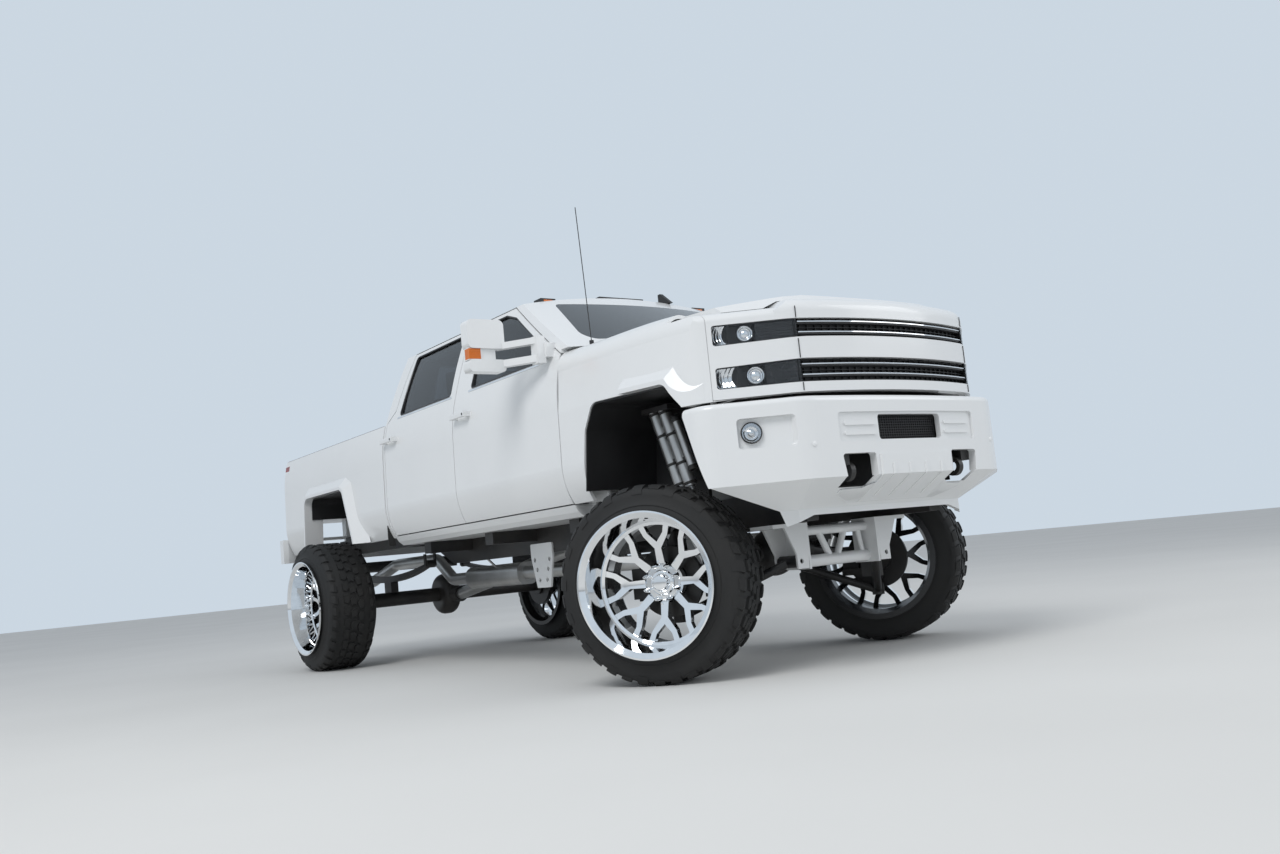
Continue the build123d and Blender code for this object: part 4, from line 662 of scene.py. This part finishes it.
# Seats: padded cushions, leaning backs and head restraints over plastic plinths.
def pad(name, size, place, crown, channels=()):
    """A crowned closed form: sides pulled in between the corners, seams and sewn channels in its top."""
    bm = bmesh.new()
    bmesh.ops.create_cube(bm, size=2.0)
    bmesh.ops.subdivide_edges(bm, edges=bm.edges[:], cuts=9, use_grid_fill=True)
    half_x, half_y, half_z = (0.5 * side for side in size)
    margin = 0.004
    for vert in bm.verts:
        u, v, w = vert.co
        on_end = abs(u) > 0.99
        on_side = abs(v) > 0.99
        pull = 1 - 0.035 * (1 - w * w) * (on_end or on_side)
        shape = pull * (1 - 0.05 * (abs(w) ** 6))
        top = crown * (1 - u * u) * (1 - v * v) if w > 0 else 0.0
        groove = sum(0.007 * math.exp(-(((v - line) / 0.06) ** 2)) for line in channels) * (w > 0.9)
        seam = 0.005 * math.exp(-((w / 0.12) ** 2))
        vert.co = (
            u * (half_x * shape - margin + seam * on_end),
            v * (half_y * shape - margin + seam * on_side),
            w * (half_z - crown * 0.5) - crown * 0.5 + top - groove,
        )
    bm.transform(place)
    obj = piece(name, bm, "seat_fabric", crease=75.0, subdiv=1)
    return obj


def lean_place(x, y, z, degrees):
    return Matrix.Translation((x, y, z)) @ Matrix.Rotation(math.radians(degrees), 4, "Y")


# Columns: name, distance left, seat's middle x, width, head restraints' distances left, sewn channels
SEATS = (
    ("front_right", -0.43, 0.76, 0.50, (-0.43,), (-0.5, 0.5)),
    ("front_left", 0.43, 0.76, 0.50, (0.43,), (-0.5, 0.5)),
    ("bench", 0.0, -0.23, 1.38, (-0.43, 0.43), (-0.68, -0.34, 0.0, 0.34, 0.68)),
)
CUSHION_Z = 1.215
BACK_LEAN = -104.5
BACK_BEHIND = 0.317
BACK_Z = 1.565
REST_BEHIND = 0.365
REST_Z = 1.94
POST_HEIGHTS = (1.80, 1.87)
# Plinth boxes. Columns: half length, distance in from the cushion's side, heights
PLINTH = ((0.198, 0.062, 0.965, 1.138), (0.24, 0.02, 1.125, 1.139))


def add_seats():
    plinths = bmesh.new()
    for name, y, x, width, rests, channels in SEATS:
        cushion_place = Matrix.Translation((x, y, CUSHION_Z))
        cushion = pad(f"seat_cushion_{name}", (0.52, width, 0.15), cushion_place, 0.022, channels)
        back_place = lean_place(x - BACK_BEHIND, y, BACK_Z, BACK_LEAN)
        pad(f"seat_back_{name}", (0.56, width, 0.115), back_place, 0.02, channels)
        rest_x = x - REST_BEHIND
        for i, at in enumerate(rests):
            rest_place = lean_place(rest_x, at, REST_Z, -90)
            pad(f"head_restraint_{name}_{i}", (0.17, 0.24, 0.088), rest_place, 0.014)
            for post in (at - 0.05, at + 0.05):
                low, high = ((rest_x, post, z) for z in POST_HEIGHTS)
                rod(plinths, low, high, 0.006, 10)
        for half, inset, low, high in PLINTH:
            reach = width / 2 - inset
            brick(plinths, (x - half, y - reach, low), (x + half, y + reach, high))
        if name == "front_right":
            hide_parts("seats")
    piece("seat_plinths", plinths, "black_plastic", bevel=0.006)


# Mirrors, door locks, shocks, bed, roof lamps and wipers.
def border(bm, xs, ys, zs, width):
    """Four bars round an opening."""
    brick(bm, (xs[0], ys[0] - width, zs[0] - width), (xs[1], ys[1] + width, zs[0]))
    brick(bm, (xs[0], ys[0] - width, zs[1]), (xs[1], ys[1] + width, zs[1] + width))
    for y in (ys[0] - width, ys[1]):
        brick(bm, (xs[0], y, zs[0]), (xs[1], y + width, zs[1]))


def add_mirrors():
    for side, sign in SIDES.items():
        body = f"door_front_{side}"
        glass = bmesh.new()
        gaskets = bmesh.new()
        outs = sorted((sign * 1.112, sign * 1.302))
        for low, high in ((1.812, 1.948), (1.680, 1.732)):
            brick(glass, (1.1262, outs[0], low), (1.1278, outs[1], high))
            border(gaskets, (1.1255, 1.1279), outs, (low, high), 0.006)
        piece(f"mirror_glass_{side}", glass, "polished_rim", body)
        piece(f"mirror_gaskets_{side}", gaskets, "black_plastic", body)
        marker = bmesh.new()
        outs = sorted((sign * 1.244, sign * 1.3145))
        brick(marker, (1.150, outs[0], 1.742), (1.1985, outs[1], 1.799))
        for z in spread(1.748, 1.793, 6):
            brick(marker, (1.1985, outs[0] + 0.004, z - 0.002), (1.1998, outs[1] - 0.004, z + 0.002))
        piece(f"mirror_marker_{side}", marker, "amber_lens", body, bevel=0.003)


def add_door_locks():
    barrel = [(0.0005, -0.004), (0.0085, -0.004), (0.0085, 0.0015), (0.0065, 0.0025), (0.0005, 0.0025)]
    for side, sign in SIDES.items():
        for end, x in (("front", 0.450), ("rear", -0.625)):
            lock = bmesh.new()
            turned(lock, barrel, 24, axis_place((x, sign * 0.9985, 1.560), (0, sign, 0)))
            outs = sorted((sign * 0.998, sign * 1.0015))
            brick(lock, (x - 0.0015, outs[0], 1.556), (x + 0.0015, outs[1], 1.564))
            piece(f"door_lock_{end}_{side}", lock, "black_plastic", f"door_{end}_{side}")


SHOCK_LOW_Z = 0.560
SHOCK_TOP_Z = 1.325
SHOCK_LOW_OUT = 0.560
SHOCK_RUN_OUT = 0.095
SHOCK_LEAN = 0.24
SHOCK_BAND = [(0.0322, -0.007), (0.0365, -0.007), (0.0365, 0.007), (0.0322, 0.007)]
TANK_END = [(0.0005, -0.012), (0.0245, -0.012), (0.0245, 0.012), (0.0005, 0.012)]


def on_shock(top_x, sign, z):
    """A point on a shock's axis at a height."""
    share = (z - SHOCK_LOW_Z) / (SHOCK_TOP_Z - SHOCK_LOW_Z)
    out = SHOCK_LOW_OUT + SHOCK_RUN_OUT * share
    return Vector((top_x + SHOCK_LEAN * (SHOCK_TOP_Z - z), sign * out, z))


def add_shocks():
    tanks = bmesh.new()
    dark = bmesh.new()
    ahead = Vector((0.066, 0, 0))
    for sign in SIDES.values():
        for top_x in (1.916, 1.996):
            axis = on_shock(top_x, sign, 1.3) - on_shock(top_x, sign, 0.6)
            for z in (0.945, 1.05, 1.20, 1.315):
                turned(dark, SHOCK_BAND, 28, axis_place(on_shock(top_x, sign, z), axis))
            tank_low = on_shock(top_x, sign, 1.02) + ahead
            tank_high = on_shock(top_x, sign, 1.27) + ahead
            rod(tanks, tank_low, tank_high, 0.022, 24)
            for end in (tank_low, tank_high):
                turned(dark, TANK_END, 24, axis_place(end, axis))
            for z in (1.07, 1.21):
                clamp = on_shock(top_x, sign, z) + ahead / 2
                brick(dark, (-0.012, -0.012, -0.009), (0.012, 0.012, 0.009), axis_place(clamp, axis))
            hose_start = on_shock(top_x, sign, 1.30) + Vector((0.02, 0, 0))
            rod(dark, hose_start, tank_high + Vector((0, 0, 0.012)), 0.005, 10)
    piece("shock_reservoirs", tanks, "silver_metal", bevel=0.002)
    piece("shock_clamps", dark, "black_steel", bevel=0.0015)


def add_bed_trim():
    caps = bmesh.new()
    for sign in SIDES.values():
        outs = sorted((sign * 0.830, sign * 0.925))
        brick(caps, (-2.885, outs[0], 1.680), (-0.870, outs[1], 1.6845))
    brick(caps, (-0.905, -0.82, 1.680), (-0.862, 0.82, 1.6845))
    ribs = bmesh.new()
    for out in spread(-0.54, 0.54, 13):
        brick(ribs, (-2.85, out - 0.022, 1.1715), (-0.92, out + 0.022, 1.1775))
    piece("bed_rail_caps", caps, "black_plastic", bevel=0.0015)
    piece("bed_floor_ribs", ribs, "white_paint", bevel=0.002)


def add_roof_lenses():
    lenses = bmesh.new()
    # Columns: the lenses' distances left, front x, lower height
    for outs, front, z in (((-0.579, 0.579), 0.872, 2.174), ((-0.120, 0.0, 0.120), 0.822, 2.218)):
        for out in outs:
            brick(lenses, (front - 0.020, out - 0.032, z), (front, out + 0.032, z + 0.012))
    piece("roof_lamp_lenses", lenses, "amber_lens", bevel=0.003)


SCREEN_FOOT = (1.680, 1.777)
SCREEN_SLOPE = 1.806
SCREEN_RADIUS = 2.262


def on_screen(out, z):
    """A point just proud of the windscreen."""
    foot_x, foot_z = SCREEN_FOOT
    return Vector((foot_x - SCREEN_SLOPE * (z - foot_z) - out * out / (2 * SCREEN_RADIUS) + 0.012, out, z))


def add_wipers():
    arms = bmesh.new()
    for pivot, tip in ((-0.62, 0.02), (0.02, 0.60)):
        low = on_screen(pivot, 1.797)
        elbow = on_screen(tip * 0.6 + pivot * 0.4, 1.835) + Vector((0.004, 0, 0.004))
        rod(arms, low, elbow, 0.006, 10)
        rod(arms, on_screen(pivot + 0.06, 1.815), on_screen(tip + 0.06, 1.845), 0.005, 8)
        rod(arms, low - Vector((0, 0, 0.02)), low + Vector((0, 0, 0.012)), 0.014, 16)
    piece("wipers", arms, "black_plastic", bevel=0.001)


add_seats()
add_mirrors()
add_door_locks()
add_shocks()
add_bed_trim()
add_roof_lenses()
add_wipers()


# Window seals, belt mouldings and small trim.
NEARLY_STRAIGHT = 1.45
# Columns: height, the doors' distance out
SKIN = ((1.705, 0.918), (1.931, 0.848), (2.146, 0.762))
# Columns: height, how far proud of the door's face
MOULDING = (
    (1.699, 0.0005), (1.701, 0.0035), (1.711, 0.0045), (1.7145, 0.001), (1.7145, -0.012), (1.699, -0.012),
)
# Columns: distance into the window, depth behind the door's face
SEAL = ((-0.002, 0.0), (0.009, 0.001), (0.011, 0.016), (-0.002, 0.018))


def skin(z):
    """The doors' outer face above the belt line: its distance out at a height, a curve through three."""
    total = 0.0
    for height, out in SKIN:
        share = out
        for other in (row[0] for row in SKIN if row[0] != height):
            share *= (z - other) / (height - other)
        total += share
    return total


def rounded(points, radius):
    """An outline with its sharp corners rounded."""
    line = []
    count = len(points)
    for i, corner in enumerate(points):
        corner = Vector(corner)
        before = (Vector(points[i - 1]) - corner).normalized()
        after = (Vector(points[(i + 1) % count]) - corner).normalized()
        half = before.angle(after) / 2
        if half > NEARLY_STRAIGHT:
            line.append(corner)
            continue
        reach = radius / math.tan(half)
        start, end = corner + before * reach, corner + after * reach
        for share in spread(0, 1, 7):
            line.append((1 - share) ** 2 * start + 2 * share * (1 - share) * corner + share**2 * end)
    return line


# The side windows' openings. Columns: x, height
WINDOWS = {
    "front": [
        (0.430, 1.716), (0.430, 2.118), (0.705, 2.118), (0.850, 2.071), (1.206, 1.847), (1.206, 1.716),
    ],
    "rear": [(0.160, 1.716), (0.160, 2.118), (-0.560, 2.118), (-0.622, 1.716)],
}


def add_window_trim():
    """A rubber seal round each side window and a bright moulding along the belt below it."""
    for side, sign in SIDES.items():
        for end, outline in WINDOWS.items():
            line = rounded(outline, 0.028)
            centre = sum(line, Vector((0, 0))) / len(line)
            seal = bmesh.new()
            loops = []
            for i, point in enumerate(line):
                along = (line[(i + 1) % len(line)] - line[i - 1]).normalized()
                inward = Vector((-along.y, along.x))
                if inward.dot(centre - point) < 0:
                    inward = -inward
                loop = []
                for across, depth in SEAL:
                    x, z = point + inward * across
                    loop.append((x, sign * (skin(z) - depth), z))
                loops.append(loop)
            loft(seal, loops, ring=True)
            piece(f"window_seal_{end}_{side}", seal, "black_plastic", f"door_{end}_{side}")
            moulding = bmesh.new()
            xs = [x for x, z in outline]
            loops = []
            ahead = 0.085 if end == "front" else 0.02
            for x in spread(min(xs) - 0.02, max(xs) + ahead, 12):
                loops.append([(x, sign * (skin(z) + proud), z) for z, proud in MOULDING])
            loft(moulding, loops)
            piece(f"belt_moulding_{end}_{side}", moulding, "polished_rim", f"door_{end}_{side}")


CHIN_TOP = 0.866
CHIN_SLOPE = 1.664
# Columns: distance out, height
SKID_FOOT = [
    (0.238, 0.835), (0.300, 0.815), (0.418, 0.813), (0.418, 0.798), (0.300, 0.757), (0.238, 0.757),
]


def chin(out, z, proud):
    """A point's X on the valance's chin, proud of its face."""
    return bumper(out)[0] - 0.004 - CHIN_SLOPE * (CHIN_TOP - z) + proud


def add_small_trim():
    """The skid plate's side feet and the flaps below the gap between cab and bed."""
    feet = bmesh.new()
    flaps = bmesh.new()
    for sign in SIDES.values():
        loops = []
        for proud in (0.013, -0.006):
            loops.append([(chin(out, z, proud), sign * out, z) for out, z in SKID_FOOT])
        loft(feet, loops)
        outs = sorted((sign * 0.900, sign * 0.950))
        brick(flaps, (-0.880, outs[0], 0.850), (-0.872, outs[1], 0.990))
    piece("skid_feet", feet, "white_paint", bevel=0.003)
    piece("gap_flaps", flaps, "rubber", bevel=0.001)


def add_rear_trim():
    """The tail lamps' ribs and frames, and the tailgate's handle in its bezel."""
    red = bmesh.new()
    frames = bmesh.new()
    reverse = bmesh.new()
    for sign in SIDES.values():
        low, high = sorted((sign * 0.806, sign * 0.941))
        for z in (1.385, 1.515):
            brick(frames, (-2.9025, low, z - 0.003), (-2.896, high, z + 0.003))
        for z_low, z_high in ((1.264, 1.382), (1.518, 1.636)):
            count = int((z_high - z_low) / 0.011)
            for z in spread(z_low + 0.004, z_high - 0.004, count):
                brick(red, (-2.9018, low, z - 0.0022), (-2.897, high, z + 0.0022))
        for z in spread(1.393, 1.507, 12):
            brick(reverse, (-2.902, low + 0.004, z - 0.004), (-2.897, high - 0.004, z + 0.004))
    piece("tail_lamp_ribs", red, "red_lens", bevel=0.0006)
    piece("tail_lamp_frames", frames, "black_plastic")
    piece("tail_lamp_reverse_ribs", reverse, "silver_metal", bevel=0.0008)
    bezel = bmesh.new()
    paddle = bmesh.new()
    border(bezel, (-2.9015, -2.890), (-0.112, 0.112), (1.588, 1.637), 0.006)
    brick(bezel, (-2.876, -0.112, 1.588), (-2.873, 0.112, 1.637))
    grip = ((-2.8985, 1.594), (-2.8965, 1.622), (-2.888, 1.626), (-2.880, 1.618), (-2.886, 1.592))
    loft(paddle, [[(x, y, z) for x, z in grip] for y in (-0.098, 0.098)])
    piece("tailgate_handle_bezel", bezel, "black_plastic", "tailgate", bevel=0.001)
    piece("tailgate_handle", paddle, "white_paint", "tailgate", bevel=0.002)


add_window_trim()
add_small_trim()
add_rear_trim()


# Floor, world and lamps.
def add_stage():
    mesh = bpy.data.meshes.new("floor")
    mesh.from_pydata([(-60, -60, 0), (60, -60, 0), (60, 60, 0), (-60, 60, 0)], [], [(0, 1, 2, 3)])
    floor = bpy.data.objects.new("floor", mesh)
    scene.collection.objects.link(floor)
    material, nodes, links, bsdf = shader("floor")
    tex = noise(nodes, links, 0.4, 3.0)
    tone = ramp(nodes, links, tex.outputs["Fac"], (0.70, 0.70, 0.68), (0.74, 0.74, 0.72))
    links.new(tone.outputs["Color"], bsdf.inputs["Base Color"])
    bsdf.inputs["Roughness"].default_value = 0.9
    mesh.materials.append(material)
    world = bpy.data.worlds.new("world")
    scene.world = world
    world.use_nodes = True
    nodes = world.node_tree.nodes
    links = world.node_tree.links
    background = nodes["Background"]
    background.inputs["Color"].default_value = (0.80, 0.85, 0.92, 1)
    background.inputs["Strength"].default_value = 0.62
    shown = nodes.new("ShaderNodeBackground")
    shown.inputs["Color"].default_value = (0.60, 0.68, 0.76, 1)
    shown.inputs["Strength"].default_value = 1.0
    ray = nodes.new("ShaderNodeLightPath")
    seen = ray.outputs["Is Camera Ray"]
    for kind in ("Is Glossy Ray", "Is Transmission Ray"):
        either = nodes.new("ShaderNodeMath")
        either.operation = "MAXIMUM"
        links.new(seen, either.inputs[0])
        links.new(ray.outputs[kind], either.inputs[1])
        seen = either.outputs[0]
    mix = nodes.new("ShaderNodeMixShader")
    links.new(seen, mix.inputs["Fac"])
    links.new(background.outputs[0], mix.inputs[1])
    links.new(shown.outputs[0], mix.inputs[2])
    links.new(mix.outputs[0], nodes["World Output"].inputs["Surface"])
    for name, place, power in (("key", (6.0, -9.0, 11.0), 850.0), ("fill", (9.0, 7.0, 6.0), 230.0)):
        light = bpy.data.lights.new(name, "AREA")
        light.size = 6.0
        light.energy = power
        lamp = bpy.data.objects.new(name, light)
        lamp.location = place
        lamp.rotation_euler = (-Vector(place)).to_track_quat("-Z", "Y").to_euler()
        scene.collection.objects.link(lamp)


add_stage()
